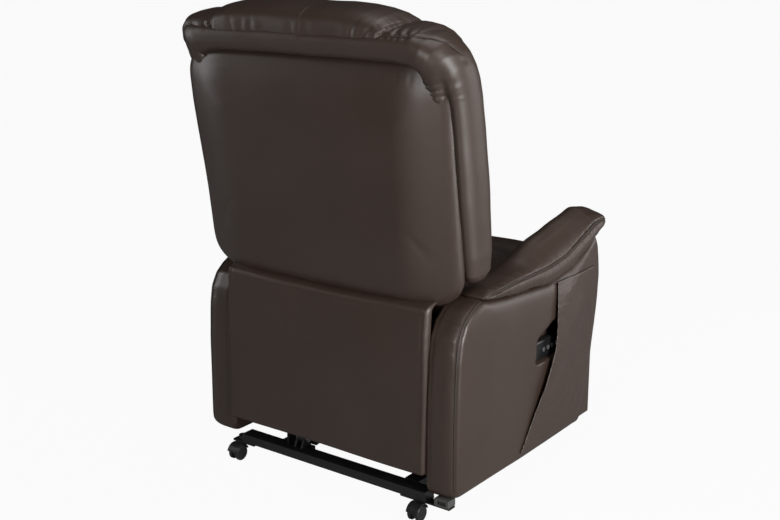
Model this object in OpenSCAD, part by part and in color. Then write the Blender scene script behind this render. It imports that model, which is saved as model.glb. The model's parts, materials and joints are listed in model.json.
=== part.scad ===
// Lift recliner chair: tilting base, seat frame, backrest and footrest, with their linkages.
// The sitter faces -Y, +X is the sitter's left, Z = 0 is the floor.

/* [Arms] */
// Clear width between the two arms
arm_gap = 600; // [560:5:680]
// Thickness of one arm
arm_t = 84; // [70:1:100]
// Y of the arms' rear face
arm_rear_y = 358; // [340:2:380]
// Length of an arm from its rear face to its front bulge
arm_len = 681; // [660:1:700]
// Height of the arms' underside above the floor
arm_base_z = 76; // [70:1:90]
// Height of the seam under the arm roll at the rear
arm_seam_z = 509; // [480:1:530]
// Height of the arm tip
arm_tip_z = 612; // [590:1:640]
// Crown of the leather side panel
arm_crown = 7; // [3:1:12]
// Room left between touching soft pieces
soft_gap = 0.4; // [0.3:0.1:1]
// Thickness of the loose pocket panel
pocket_t = 3; // [2:0.5:5]
// How far the pocket panel bulges
pocket_bulge = 10; // [6:1:16]

/* [Back] */
// Lean of the back shell from upright, in degrees
back_lean = 6.5; // [3:0.5:10]
// Y of the shell's rear face at its bottom edge
shell_foot_y = 343; // [330:1:360]
// Height of the shell's bottom edge
shell_foot_z = 500; // [480:5:520]
// Half width of the shell
shell_half_w = 377; // [350:1:390]
// Height of the shell along its lean
shell_h = 544; // [500:1:580]
// Depth of the shell's sides
shell_d = 44; // [30:1:60]
// Crown of the shell's rear face
shell_crown = 9; // [4:1:14]
// Height of the head cushion above the shell's top edge
head_h = 117; // [100:1:150]
// Half width of the head cushion and bolsters
bolster_half_w = 388; // [370:1:400]
// Width of a side bolster
bolster_w = 104; // [80:1:130]
// Depth of the bolsters and back cushions
cushion_d = 135; // [110:1:160]

/* [Seat] */
// Height of the seat's top surface
seat_z = 472; // [450:1:500]
// Y of the seat cushion's rear edge
seat_rear_y = 186; // [170:1:200]
// Y of the crease behind the seat front roll
seat_crease_y = -268; // [-290:1:-250]
// Depth of the seat front roll
seat_roll_d = 122; // [100:1:140]
// Height of the seat front roll
seat_roll_h = 108; // [90:1:120]

/* [Footrest] */
// Width of the footrest pad
foot_w = 584; // [520:2:590]
// Height of the hanging footrest pad
foot_h = 276; // [240:1:290]
// Thickness of the footrest pad
foot_t = 46; // [35:1:55]
// Thickness of the footrest board
foot_board_t = 15; // [12:1:18]
// Y of the footrest board's back face
foot_board_y = -352; // [-360:1:-350]

/* [Base] */
// Distance between the centres of the two floor rails
rail_span = 482; // [460:2:490]
// Width of a floor rail
rail_w = 40; // [30:1:44]
// Height of a floor rail
rail_h = 24; // [20:1:28]
// Height of the rails' underside above the floor
rail_z = 50; // [46:1:56]
// Depth of the rear bar
rear_bar_d = 38; // [30:1:44]
// Diameter of a castor wheel
castor_d = 40; // [34:1:44]
// Half distance between the two castors
castor_x = 285; // [270:1:300]

/* [Linkage] */
// Thickness of the flat steel links
link_t = 6; // [5:0.5:6]
// Width of the flat steel links
link_w = 30; // [24:1:34]
// Diameter of the pivot bolts
bolt_d = 10; // [8:0.5:12]
// Radial play of a pivot bolt in its bore
bolt_play = 0.05; // [0.03:0.01:0.1]
// Radial play of the opened lift pivot
open_play = 3.6; // [3.2:0.1:4.5]
// Thickness of the footrest links
leg_link_t = 5; // [4:0.5:5]
// Width of the footrest links
leg_link_w = 22; // [18:1:24]
// Radius of the lift crank
lift_crank_r = 90; // [80:1:95]
// Radius of the footrest crank
leg_crank_r = 45; // [42:1:50]
// Radius of the recline lever
back_crank_r = 85; // [78:1:92]

/* [Actuators] */
// Diameter of an actuator's outer tube
tube_d = 34; // [28:1:38]
// Diameter of an actuator's push rod
rod_d = 20; // [16:1:24]
// Width of a gear housing
gear_w = 52; // [44:1:56]
// Length of a gear housing
gear_l = 96; // [80:1:110]
// Diameter of a motor can
motor_d = 46; // [38:1:50]

/* [Handset] */
// Length of the handset
handset_l = 150; // [120:1:170]
// Width of the handset
handset_w = 52; // [44:1:58]
// Thickness of the handset
handset_t = 21; // [17:1:23]
// Travel of a key
key_travel = 1.2; // [0.8:0.1:1.6]

/* [Hidden] */
$fn = 48;

leather = [0.22, 0.185, 0.17];
steel = [0.09, 0.09, 0.095];
zinc = [0.62, 0.63, 0.65];
plastic = [0.07, 0.07, 0.075];

// Arms
arm_in = arm_gap / 2;
arm_out = arm_in + arm_t;
arm_bulge = 8;
arm_drawn_len = 681;
arm_stretch = arm_len / arm_drawn_len;

// Lift linkage, all as [y, z]
lift_a = [-285, 95];
lift_b = [-60, 100];
lift_c = [125, 100];
lift_d = [-200, 112];
arm_bracket_w = 21;
plate_t = 6;
bracket_t = 6;
link_gap = 2;
plate_gap = 4;
plate_x = arm_in - arm_bracket_w - plate_t;
front_link_x = plate_x - plate_gap - link_t;
bracket_in = front_link_x - link_gap - bracket_t;
rear_link_x = bracket_in - link_gap - link_t;
torque_d = 30;

// Footrest linkage, all as [y, z]
foot_p1 = [-255, 297];
foot_p2 = [-255, 342];
foot_u = [65, -95];
foot_a1 = foot_p1 + foot_u;
foot_x = foot_p2 + foot_u;
foot_q1 = [-338, 372];
foot_step = 88;
foot_q2 = foot_q1 - [0, foot_step];
foot_b1 = foot_x - [0, foot_step];
leg_gap = 1;
side_link_x = plate_x - link_gap - leg_link_t;
coupler_x = side_link_x - leg_gap - leg_link_t;
drive_link_x = coupler_x - leg_gap - leg_link_t;
strut_x = drive_link_x - leg_gap - leg_link_t;

// Backrest hinge, as [y, z]
back_pivot = [290, 440];

// Actuator pivots and directions, as [y, z] and degrees
lift_base_pivot = [318, 92];
lift_crank_angle = 65;
leg_base_pivot = [150, 290];
leg_crank_angle = -48;
back_base_pivot = [-130, 310];
back_crank_angle = -68;
function polar(r, a) = [r * cos(a), r * sin(a)];
lift_eye = lift_a + polar(lift_crank_r, lift_crank_angle);
leg_eye = foot_p2 + polar(leg_crank_r, leg_crank_angle);
back_eye = back_pivot + polar(back_crank_r, back_crank_angle);
lift_x = 98;
leg_x = -80;
back_x = 80;
pin_d = 10;
crank_t = 5;
crank_gap = 15;

link_step = 0.3;

// Helpers -------------------------------------------------------------

// Puts a flat [y, z] profile at x and gives it a thickness along +X
module slab(x, t) {
  translate([x, 0, 0]) rotate([90, 0, 90]) linear_extrude(t) children();
}

// Round bar or tube along X between two x values, at a [y, z] place
module bar_x(x0, x1, at, d) {
  translate([x0, at.x, at.y]) rotate([0, 90, 0]) cylinder(h = x1 - x0, d = d);
}

// Both sides of a symmetric pair
module both() {
  children();
  mirror([1, 0, 0]) children();
}

// Flat outline of a straight link; its ends are rounder than its waist by a hair, so that edges cross cleanly
module link_2d(a, b, w) {
  d = b - a;
  waist = w - link_step;
  translate(a) circle(d = w);
  translate(b) circle(d = w);
  translate(a) rotate(atan2(d.y, d.x)) translate([0, -waist / 2]) square([norm(d), waist]);
}

// Flat outline of a slot from radius r0 to r1 along a direction
module slot_2d(centre, angle, r0, r1, w) {
  link_2d(centre + polar(r0, angle), centre + polar(r1, angle), w);
}

module holes_2d(places, d) {
  for (p = places) translate(p) circle(d = d);
}

// Rectangular bar with sharp corners given by its low and high corners
module bar(lo, hi) {
  translate(lo) cube(hi - lo);
}

// Closed skin over rings with equal point counts, capped by a centre point at each end
module loft(rings, turn = false) {
  n = len(rings[0]);
  m = len(rings);
  body = [for (r = rings) each r];
  mid = [for (r = [rings[0], rings[m - 1]]) [for (k = [0:2]) average([for (p = r) p[k]])]];
  side = [for (k = [0:m - 2], i = [0:n - 1]) each
    let (a = k * n + i, b = k * n + (i + 1) % n, c = b + n, d = a + n) [[a, b, c], [a, c, d]]];
  low = [for (i = [0:n - 1]) [n * m, (i + 1) % n, i]];
  high = [for (i = [0:n - 1]) [n * m + 1, n * (m - 1) + i, n * (m - 1) + (i + 1) % n]];
  faces = concat(side, low, high);
  polyhedron(concat(body, mid), turn ? faces : [for (f = faces) [f[2], f[1], f[0]]]);
}
function average(v) = sum(v) / len(v);
function sum(v, i = 0) = i == len(v) - 1 ? v[i] : v[i] + sum(v, i + 1);

// One ring of a cushion: a rounded rectangle whose straight sides draw in between the corners
function pad_ring(w, d, inset, draw, p, n = 48) =
  [for (i = [0:n - 1])
    let (a = 360 * i / n, c = cos(a), s = sin(a),
         pull = 1 - draw * pow(cos(2 * a), 4))
    [(w / 2 - inset) * sign(c) * pow(abs(c), p) * pull, (d / 2 - inset) * sign(s) * pow(abs(s), p) * pull]];

// Cushion in its own frame: width along X, depth along Y, thickness along Z from 0 to t
module pad(w, d, t, crown, draw = 0.012, p = 0.26) {
  levels = [[16, 0], [6, t * 0.08], [1, t * 0.24], [0, t * 0.5], [2, t * 0.76], [9, t * 0.93],
            [24, t], [52, t + crown * 0.55], [86, t + crown * 0.88]];
  rings = [for (l = levels) [for (q = pad_ring(w, d, l[0], draw, p)) [q.x, q.y, l[1]]]];
  loft(rings);
}

// Places children in the back's leaning frame: Y = 0 on its rear face, Z = 0 at its foot
module on_back() {
  translate([0, shell_foot_y, shell_foot_z]) rotate([-back_lean, 0, 0]) children();
}

// Actuators -----------------------------------------------------------

function aim(from, to) = atan2(to.y - from.y, to.x - from.x);

// Places children with +Y along the actuator, from its base pivot
module on_actuator(x, from, to) {
  translate([x, from.x, from.y]) rotate([aim(from, to), 0, 0]) children();
}

// Gear housing with a rear eye, and the motor can beside it
module gear_motor(side) {
  eye_t = 14;
  difference() {
    union() {
      rotate([0, 90, 0]) cylinder(h = eye_t, d = 26, center = true);
      translate([-eye_t / 2, 0, -13]) cube([eye_t, 22, 26]);
      translate([0, 20, 0]) rotate([-90, 0, 0]) linear_extrude(gear_l) housing_2d(gear_w, gear_w + 6, 9);
      translate([side * (gear_w / 2 + motor_d / 2 - 8), 26, 0]) rotate([-90, 0, 0])
        linear_extrude(24) housing_2d(motor_d, motor_d, 12);
    }
    rotate([0, 90, 0]) cylinder(h = eye_t + 2, d = pin_d + 2 * bolt_play, center = true);
  }
  translate([side * (gear_w / 2 + motor_d / 2 - 8), 50, 0]) rotate([-90, 0, 0]) {
    cylinder(h = 74, d = motor_d - 6);
    translate([0, 0, 74]) cylinder(h = 5, d = motor_d - 16);
  }
}

module housing_2d(w, h, r) {
  square([w - 2 * r, h], center = true);
  square([w, h - 2 * r], center = true);
  for (sx = [-1, 1], sy = [-1, 1]) translate([sx * (w / 2 - r), sy * (h / 2 - r)]) circle(r);
}

// Outer tube of an actuator, with its end collar
module outer_tube(length) {
  start = 20 + gear_l;
  difference() {
    union() {
      translate([0, start, 0]) rotate([-90, 0, 0]) cylinder(h = length - start, d = tube_d);
      translate([0, length - 14, 0]) rotate([-90, 0, 0]) cylinder(h = 14, d = tube_d + 5);
      translate([0, start, 0]) rotate([-90, 0, 0]) cylinder(h = 9, d = tube_d + 8);
    }
    translate([0, start + 9, 0]) rotate([-90, 0, 0]) cylinder(h = length, d = rod_d + 0.16);
  }
}

// Push rod with an eye and its pin, from inside the tube to the crank
module push_rod(start, reach) {
  eye_t = 12;
  eye_d = 22;
  neck = 33;
  translate([0, start, 0]) rotate([-90, 0, 0]) cylinder(h = reach - start - neck + 2, d = rod_d);
  translate([-eye_t / 2, reach - neck, -eye_d / 2]) cube([eye_t, neck, eye_d]);
  translate([0, reach, 0]) rotate([0, 90, 0]) cylinder(h = eye_t, d = eye_d, center = true);
  translate([0, reach, 0]) rotate([0, 90, 0]) {
    cylinder(h = crank_gap + 2 * crank_t + 4, d = pin_d, center = true);
    for (s = [-1, 1]) translate([0, 0, s * (crank_gap / 2 + crank_t + 2.6)])
      cylinder(h = 3, d = pin_d + 6, center = true);
  }
}

// Two crank plates with slots, around an eye at radius r from a centre
module crank_plates(x, centre, angle, r, travel, side_play, root_d) {
  for (s = [0, 1]) slab(x - crank_gap / 2 - crank_t + s * (crank_gap + crank_t), crank_t)
    difference() {
      union() {
        link_2d(centre, centre + polar(r, angle), 30);
        translate(centre) circle(d = root_d + 8);
      }
      slot_2d(centre, angle, r - travel - 0.6, r + 0.6, pin_d + 2 * side_play);
    }
}

// Two ears of a clevis round an actuator's rear eye, with the pin through them
module clevis(x, at, foot, drop) {
  for (s = [-1, 1]) slab(x - 2.5 + s * 10.5, 5) {
    translate(at) circle(d = 26);
    polygon([at + [-13, 0], at + [13, 0], at + [foot, -drop], at + [-foot, -drop]]);
  }
  bar_x(x - 16, x + 16, at, pin_d);
  for (s = [-1, 1]) bar_x(x + s * 16 - 2, x + s * 16 + 2, at, pin_d + 7);
}

// Base ----------------------------------------------------------------

base_front_y = arm_rear_y - arm_len + 1;
base_rear_y = 360;
cross_y = 118;
rear_bar_left = 268;
rear_bar_right = -300;
spar_left_x = 150;
spar_w = 30;
rail_top = rail_z + rail_h;
stem_y = 343;
stem_d = 10;

module base_frame() color(steel) {
  bar_y = base_rear_y - rear_bar_d;
  difference() {
    union() {
      // rear bar, cross tubes and rails
      bar([rear_bar_right, bar_y, rail_z], [rear_bar_left, base_rear_y, rail_top - 2]);
      both() bar([rail_span / 2 - rail_w / 2, base_front_y, rail_z],
                 [rail_span / 2 + rail_w / 2, cross_y + rear_bar_d, rail_top]);
      bar([-rail_span / 2, cross_y, rail_z + 2], [rail_span / 2, cross_y + rear_bar_d, rail_top - 2]);
      bar([-rail_span / 2, base_front_y, rail_z + 2], [rail_span / 2, base_front_y + 30, rail_top - 2]);
      // spars that carry the rear bar
      bar([spar_left_x - spar_w / 2, cross_y, rail_z + 2],
          [spar_left_x + spar_w / 2, bar_y + 1, rail_top - 2]);
      bar([-rail_span / 2 - rail_w / 2, cross_y, rail_z], [-rail_span / 2 + rail_w / 2, bar_y + 1, rail_top]);
      // pivot brackets beside the rails
      both() slab(bracket_in, bracket_t) bracket_2d();
      both() bar([min(rail_span / 2, bracket_in), base_front_y + 5, rail_z + 1],
                 [max(rail_span / 2, bracket_in + bracket_t), lift_d.x + 38, rail_z + 1 + bracket_t]);
      // clevis seat of the lift actuator
      bar([lift_x - 27, bar_y - 16, rail_z + 1], [lift_x + 27, bar_y + 1, rail_top - 2]);
      for (s = [-1, 1]) slab(lift_x - 2.5 + s * 10.5, 5) {
        translate(lift_base_pivot) circle(d = 26);
        polygon([lift_base_pivot + [-13, 0], lift_base_pivot + [13, 0], [bar_y + 20, rail_top - 3],
            [bar_y - 16, rail_top - 3]]);
      }
      // upright that carries the cable guide
      bar([spar_left_x - spar_w / 2, bar_y - 22, rail_top - 3],
          [spar_left_x - spar_w / 2 + 5, bar_y + 12, rail_top + 24]);
      // castor plates
      both() bar([castor_x - 52, stem_y - 20, rail_z - 5], [castor_x + 20, stem_y + 16, rail_z + 0.5]);
      both() translate([castor_x, stem_y, rail_z - 5]) cylinder(h = 16, d = 22);
      // outrigger for the mains inlet
      bar([-370, stem_y - 10, rail_z - 5], [-castor_x, stem_y + 14, rail_z - 0.5]);
    }
    // actuator pin hole
    bar_x(lift_x - 20, lift_x + 20, lift_base_pivot, pin_d + 2 * bolt_play);
    // bores for the torque tube's stubs
    both() bar_x(bracket_in - 1, bracket_in + bracket_t + 1, lift_a, stub_d + 2 * bolt_play);
    both() bar_x(bracket_in - 1, bracket_in + bracket_t + 1, lift_d, bolt_d);
    // castor stem holes
    both() translate([castor_x, stem_y, rail_z - 6]) cylinder(h = 13, d = stem_d + 2 * bolt_play);
    // hollow ends of the rear bar
    bar([rear_bar_right - 1, bar_y + 2.5, rail_z + 2.5],
        [rear_bar_right + 40, base_rear_y - 2.5, rail_top - 4.5]);
    bar([rear_bar_left - 40, bar_y + 2.5, rail_z + 2.5],
        [rear_bar_left + 1, base_rear_y - 2.5, rail_top - 4.5]);
  }
}
stub_d = 18;

// Side outline of a pivot bracket
module bracket_2d() {
  translate(lift_a) circle(d = 36);
  translate(lift_d) circle(d = 30);
  polygon([[base_front_y, rail_z], [lift_a.x - 17, lift_a.y + 4], lift_a + [0, 18], lift_d + [0, 15],
           lift_d + [14, 4], [lift_d.x + 42, rail_z]]);
}

module base_end_caps() color(plastic) {
  bar_y = base_rear_y - rear_bar_d;
  cap = 4;
  plug = 8;
  // rear bar ends, with plugs inside the tube
  for (e = [[rear_bar_right, -1], [rear_bar_left, 1]]) {
    x = e[0];
    s = e[1];
    bar([min(x, x + s * cap), bar_y, rail_z + 0.5], [max(x, x + s * cap), base_rear_y, rail_top - 2]);
    bar([min(x, x - s * plug), bar_y + 3, rail_z + 3], [max(x, x - s * plug), base_rear_y - 3, rail_top - 5]);
  }
  // rail ends at the front
  both() bar([rail_span / 2 - rail_w / 2, base_front_y - cap, rail_z],
             [rail_span / 2 + rail_w / 2, base_front_y, rail_top]);
}

module front_glides() color(plastic) {
  for (sx = [-1, 1]) translate([sx * rail_span / 2, base_front_y + 26, 0]) {
    cylinder(h = 8, d = 34);
    translate([0, 0, 8]) cylinder(h = rail_z - 16, d = 16);
    translate([0, 0, rail_z - 8]) cylinder(h = 8, d = 26);
  }
}

// Bolts of the rear links, and the pin of the lift actuator
module base_pivot_bolts() color(zinc) {
  x0 = rear_link_x - 4;
  both() bar_x(x0, bracket_in + bracket_t + 1, lift_d, bolt_d);
  both() bar_x(x0 - 5, x0, lift_d, bolt_d + 8);
  bar_x(lift_x - 16, lift_x + 16, lift_base_pivot, pin_d);
  for (s = [-1, 1]) bar_x(lift_x + s * 15.5 - 2, lift_x + s * 15.5 + 2, lift_base_pivot, pin_d + 7);
}

// Mains inlet: shrouded socket with three contact pins
module power_inlet() color([0.5, 0.51, 0.52]) {
  difference() {
    bar([-368, stem_y - 14, rail_z - 0.5], [-330, stem_y + 16, rail_z + 17]);
    bar([-361, stem_y + 6, rail_z + 3], [-337, stem_y + 17, rail_z + 13]);
  }
  for (x = [-354, -349, -344]) bar([x - 1, stem_y + 5, rail_z + 6], [x + 1, stem_y + 13, rail_z + 10]);
}

// Castors: stem, fork hub and cover between two small wheels
castor_r = castor_d / 2;
castor_y = stem_y + 21;
axle_d = 6;
wheel_t = 9;
hub_t = 12;

module castor_fork(x) color(plastic) translate([x, 0, 0]) {
  difference() {
    union() {
      translate([0, stem_y, castor_d - 2]) cylinder(h = rail_z - castor_d - 3.5, d = 20);
      translate([0, stem_y, rail_z - 6]) cylinder(h = 12, d = stem_d);
      slab(-hub_t / 2, hub_t) {
        translate([castor_y, castor_r]) circle(d = castor_d - 10);
        polygon([[stem_y - 10, castor_d + 2], [stem_y + 10, castor_d + 2], [castor_y + 13, castor_r + 8],
                 [castor_y - 13, castor_r - 8]]);
      }
      // mudguard over the wheels
      slab(-hub_t / 2 - wheel_t - 1, 2 * wheel_t + hub_t + 2) difference() {
        translate([castor_y, castor_r]) circle(d = castor_d + 8);
        translate([castor_y, castor_r]) circle(d = castor_d + 2.4);
        polygon([[castor_y, castor_r], [castor_y - 60, castor_r + 22], [castor_y - 60, -30],
                 [castor_y + 60, -30], [castor_y + 60, castor_r + 16]]);
      }
    }
    bar_x(-hub_t, hub_t, [castor_y, castor_r], axle_d + 2 * bolt_play);
  }
}

module castor_wheels(x) color([0.12, 0.12, 0.125]) translate([x, 0, 0]) {
  bar_x(-hub_t / 2 - 4, hub_t / 2 + 4, [castor_y, castor_r], axle_d);
  for (s = [-1, 1]) translate([s * (hub_t / 2 + 0.4 + wheel_t / 2), castor_y, castor_r]) rotate([0, 90, 0])
    rotate_extrude() polygon([[0, -wheel_t / 2], [castor_r - 2, -wheel_t / 2], [castor_r, -wheel_t / 2 + 2],
                              [castor_r, wheel_t / 2 - 2], [castor_r - 2, wheel_t / 2], [8, wheel_t / 2],
                              [7, wheel_t / 2 - 1.5], [0, wheel_t / 2 - 1.5]]);
}
module left_castor_fork() { castor_fork(castor_x); }
module right_castor_fork() { castor_fork(-castor_x); }
module left_castor_wheels() { castor_wheels(castor_x); }
module right_castor_wheels() { castor_wheels(-castor_x); }

// Lift linkage --------------------------------------------------------

module front_lift_links() color(steel) {
  // torque tube with stubs that turn in the brackets
  bar_x(-bracket_in + 1, bracket_in - 1, lift_a, torque_d);
  both() bar_x(bracket_in - 2, front_link_x + 1, lift_a, stub_d);
  both() slab(front_link_x, link_t) difference() {
    union() {
      link_2d(lift_a, lift_b, link_w);
      translate(lift_a) circle(d = link_w + 8);
    }
    translate(lift_b) circle(d = bolt_d + 2 * bolt_play);
  }
  crank_plates(lift_x, lift_a, lift_crank_angle, lift_crank_r, 8, 1.4, torque_d);
}

module rear_lift_links() color(steel) both() slab(rear_link_x, link_t) difference() {
  union() {
    link_2d(lift_d, lift_c, link_w);
    translate(lift_c) circle(d = link_w + 4);
  }
  translate(lift_d) circle(d = bolt_d + 2 * bolt_play);
  translate(lift_c) circle(d = bolt_d + 2 * open_play);
}

lift_reach = norm(lift_eye - lift_base_pivot);
lift_tube_l = 430;
module lift_gear_motor() color(plastic) on_actuator(lift_x, lift_base_pivot, lift_eye) gear_motor(1);
module lift_outer_tube() color(zinc) on_actuator(lift_x, lift_base_pivot, lift_eye) outer_tube(lift_tube_l);
module lift_rod() color(zinc) on_actuator(lift_x, lift_base_pivot, lift_eye) push_rod(300, lift_reach);

// Seat frame ----------------------------------------------------------

seat_rail = 25;
seat_rail_z = 362;
seat_rail_x = plate_x - 41;
front_rail_y = -298;
rear_rail_y = 196;
rear_rail_rise = 6;
stub_y = -140;
stub_w = 28;
mid_tube = [-130, 262];
rear_tube = [150, 250];
frame_tube_d = 25;

// Lightening cut-outs of the side plates
cut_outs = [[-66, 322], [66, 322], [190, 330]];
cut_out_l = 48;
cut_out_d = 44;

// Side plate outline with its lobes down to the lift pivots
module side_plate_2d() {
  difference() {
    union() {
      polygon([[-288, 275], [-288, 375], [-276, 387], [228, 387], back_pivot + [-22, 10],
          back_pivot + [22, 10],
               back_pivot + [24, -70], [246, 262], [160, 215], lift_c + [17, 0], lift_c + [-17, 0], [70, 216],
               [20, 226], lift_b + [17, 0], lift_b + [-17, 0], [-120, 226], [-200, 262]]);
      translate(lift_b) circle(d = 34);
      translate(lift_c) circle(d = 34);
      translate(back_pivot) circle(d = 50);
    }
    holes_2d([lift_b, lift_c, back_pivot, foot_p1, foot_p2], bolt_d);
    for (c = cut_outs) slot_2d(c, 0, -cut_out_l / 2, cut_out_l / 2, cut_out_d);
  }
}

module seat_side_plates() color(steel) both() slab(plate_x, plate_t) side_plate_2d();

module seat_frame() color(steel) {
  top = seat_rail_z + seat_rail;
  both() bar([seat_rail_x - seat_rail / 2, front_rail_y, seat_rail_z],
             [seat_rail_x + seat_rail / 2, rear_rail_y + seat_rail, top]);
  bar([-seat_rail_x, front_rail_y, seat_rail_z], [seat_rail_x, front_rail_y + seat_rail, top]);
  bar([-plate_x, rear_rail_y, seat_rail_z + rear_rail_rise], [plate_x, rear_rail_y + seat_rail, top]);
  both() bar([seat_rail_x, stub_y, seat_rail_z], [plate_x, stub_y + stub_w, top]);
  bar_x(-plate_x, plate_x, mid_tube, frame_tube_d);
  bar_x(-plate_x, plate_x, rear_tube, frame_tube_d);
  clevis(leg_x, leg_base_pivot, 14, leg_base_pivot.y - rear_tube.y);
  clevis(back_x, back_base_pivot, 14, back_base_pivot.y - mid_tube.y);
}

// Bolts fixed in the side plates, on which the links turn
module seat_pivot_bolts() color(zinc) both() {
  reach = plate_x + plate_t;
  bar_x(front_link_x - 2, reach, lift_b, bolt_d);
  bar_x(front_link_x - 6, front_link_x - 2, lift_b, bolt_d + 8);
  bar_x(rear_link_x - 3, reach, lift_c, bolt_d);
  bar_x(rear_link_x - 8, rear_link_x - 2, lift_c, bolt_d + 12);
  bar_x(side_link_x - 0.6, reach, foot_p1, bolt_d);
  bar_x(drive_link_x - 14, reach, foot_p2, bolt_d);
  bar_x(plate_x - 20, reach, back_pivot, bolt_d);
}

// Sinuous springs between the front and rear rails
spring_d = 4;
spring_count = 5;
spring_side = seat_rail_x - 52;
module seat_springs() color(zinc) for (k = [0:spring_count - 1])
  sinuous(spring_side * (2 * k / (spring_count - 1) - 1), front_rail_y + 8, rear_rail_y + 17,
          seat_rail_z + seat_rail + spring_d / 2 - 0.2, 14);

// Zigzag wire from y0 to y1 at a height, swept as one tube
module sinuous(x, y0, y1, z, waves) {
  steps = waves * 6;
  route = [for (i = [0:steps]) let (t = i / steps)
    [x + 22 * sin(360 * waves * t / 2), y0 + (y1 - y0) * t, z]];
  tube(route, spring_d, 6);
}

// Tube swept along a route that stays near one plane
module tube(route, d, sides) {
  m = len(route);
  loft([for (i = [0:m - 1])
    let (ahead = route[min(i + 1, m - 1)] - route[max(i - 1, 0)], f = ahead / norm(ahead),
         side0 = cross(f, [0, 0, 1]), side1 = norm(side0) < 0.05 ? [1, 0, 0] : side0 / norm(side0),
             up = cross(side1, f))
    [for (j = [0:sides - 1]) let (a = 360 * j / sides) route[i] + d / 2 * (cos(a) * side1 + sin(a) * up)]],
        true);
}

// Brackets that carry the arms on the side plates, clear of the cut-outs
arm_bracket_y = [-220, 0, 128];
arm_bracket_l = 30;
arm_bracket_z = 300;
arm_bracket_h = 50;
module arm_brackets() color(steel) both() for (y = arm_bracket_y)
  bar([plate_x + plate_t, y - arm_bracket_l / 2, arm_bracket_z],
      [arm_in, y + arm_bracket_l / 2, arm_bracket_z + arm_bracket_h]);

// Control box hung under the rear tube by two saddles
module control_box() color(plastic) {
  box_h = 40;
  top = rear_tube.y - frame_tube_d / 2 - 6;
  translate([0, rear_tube.x, top - box_h]) linear_extrude(box_h) housing_2d(130, 90, 8);
  difference() {
    for (s = [-1, 1]) bar([s * 45 - 8, rear_tube.x - 14, top], [s * 45 + 8, rear_tube.x + 14, top + 10]);
    bar_x(-80, 80, rear_tube, frame_tube_d + 0.06);
  }
}

// Soft seat
seat_w = arm_gap - 8;
seat_foot_z = seat_rail_z + seat_rail + spring_d + soft_gap - 0.2;
module seat_cushion() color(leather)
  translate([0, (seat_rear_y + seat_crease_y) / 2, seat_foot_z])
    pad(seat_w, seat_rear_y - seat_crease_y - soft_gap, seat_z - seat_foot_z - 6, 8, 0, 0.22);

// Front roll: rounded section swept across the seat, fuller in the middle
module seat_front_roll() color(leather) {
  stations = [[-1, 0.8], [-0.985, 0.93], [-0.9, 0.985], [-0.55, 1], [0, 1.01], [0.55, 1],
              [0.9, 0.985], [0.985, 0.93], [1, 0.8]];
  loft([for (s = stations) roll_ring(s[0] * seat_w / 2, s[1], seat_foot_z)]);
}
function roll_ring(x, k, base_z) =
  let (cy = seat_crease_y - soft_gap / 2 - seat_roll_d / 2, h = seat_roll_h)
  [for (i = [0:31]) let (a = 360 * i / 32, c = cos(a), s = sin(a))
    [x, cy + k * seat_roll_d / 2 * sign(c) * pow(abs(c), 0.6),
     base_z + h / 2 + (k * h / 2) * sign(s) * pow(abs(s), s < 0 ? 0.35 : 0.75)]];

// Arms ----------------------------------------------------------------

// Height of the seam under the roll, of the outer piping and of the ridge, by distance from the rear
// at the drawn length
under_seam = [
  [60, arm_seam_z + 23], [161, arm_seam_z + 6], [207, arm_seam_z], [304, arm_seam_z - 7],
  [406, arm_seam_z - 15], [508, arm_seam_z + 1], [588, arm_seam_z + 36], [644, arm_tip_z - 33]];
piping = [
  [106, arm_seam_z + 23], [182, arm_seam_z + 32], [253, arm_seam_z + 33], [377, arm_seam_z + 32],
  [466, arm_seam_z + 42], [535, arm_tip_z - 36], [618, arm_tip_z - 4], [677, arm_tip_z]];
ridge = [
  [106, arm_seam_z + 26], [160, arm_seam_z + 34], [232, arm_seam_z + 37], [311, arm_seam_z + 56],
  [385, arm_tip_z - 22], [482, arm_tip_z + 5], [582, arm_tip_z + 24], [628, arm_tip_z + 34],
  [660, arm_tip_z + 22], [677, arm_tip_z + 4]];

// Side outline of the arm body, counted from its rear bottom corner, at the drawn length
function arm_outline() = let (t = arm_seam_z - arm_base_z) concat(
  [for (k = [0:4]) let (a = 22.5 * k, r = 26) [r * (1 - cos(a)), r * (1 - sin(a))]],
  [[300, -3], [560, 0]],
  [[590, 0], [612, 30], [636, 86], [654, 171], [667, 250], [676, 312], [681, 380], [676, 420],
   [666, t + 30], [646, t + 66]],
  [for (d = [620, 588, 548, 508, 458, 406, 355, 304, 255, 207, 161])
    [d, lookup(d, under_seam) - arm_base_z - soft_gap]],
  [[110, t + 15], [84, t + 8], [62, t - 3], [34, t - 25], [14, t - 60], [6, t - 108],
   [2, t - 200], [0, t - 320]]);

function shrink(pts, d) = let (n = len(pts))
  [for (i = [0:n - 1]) let (a = pts[(i + n - 1) % n], b = pts[(i + 1) % n], v = b - a, u = v / norm(v))
    pts[i] + d * [u.y, -u.x]];

// Crown of the outer face: share of the outline, share of the crown
crown_levels = [[1, 0], [0.86, 0.45], [0.62, 0.8], [0.3, 1]];
face_inset = 14;
arm_ring = [for (p = arm_outline()) [arm_rear_y - p.x * arm_stretch, arm_base_z + p.y]];
arm_mid = [average([for (p = arm_ring) p.x]), average([for (p = arm_ring) p.y])];
face_ring = shrink(arm_ring, face_inset);
function turn_2d(a, b) = a.x * b.y - a.y * b.x;

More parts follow.
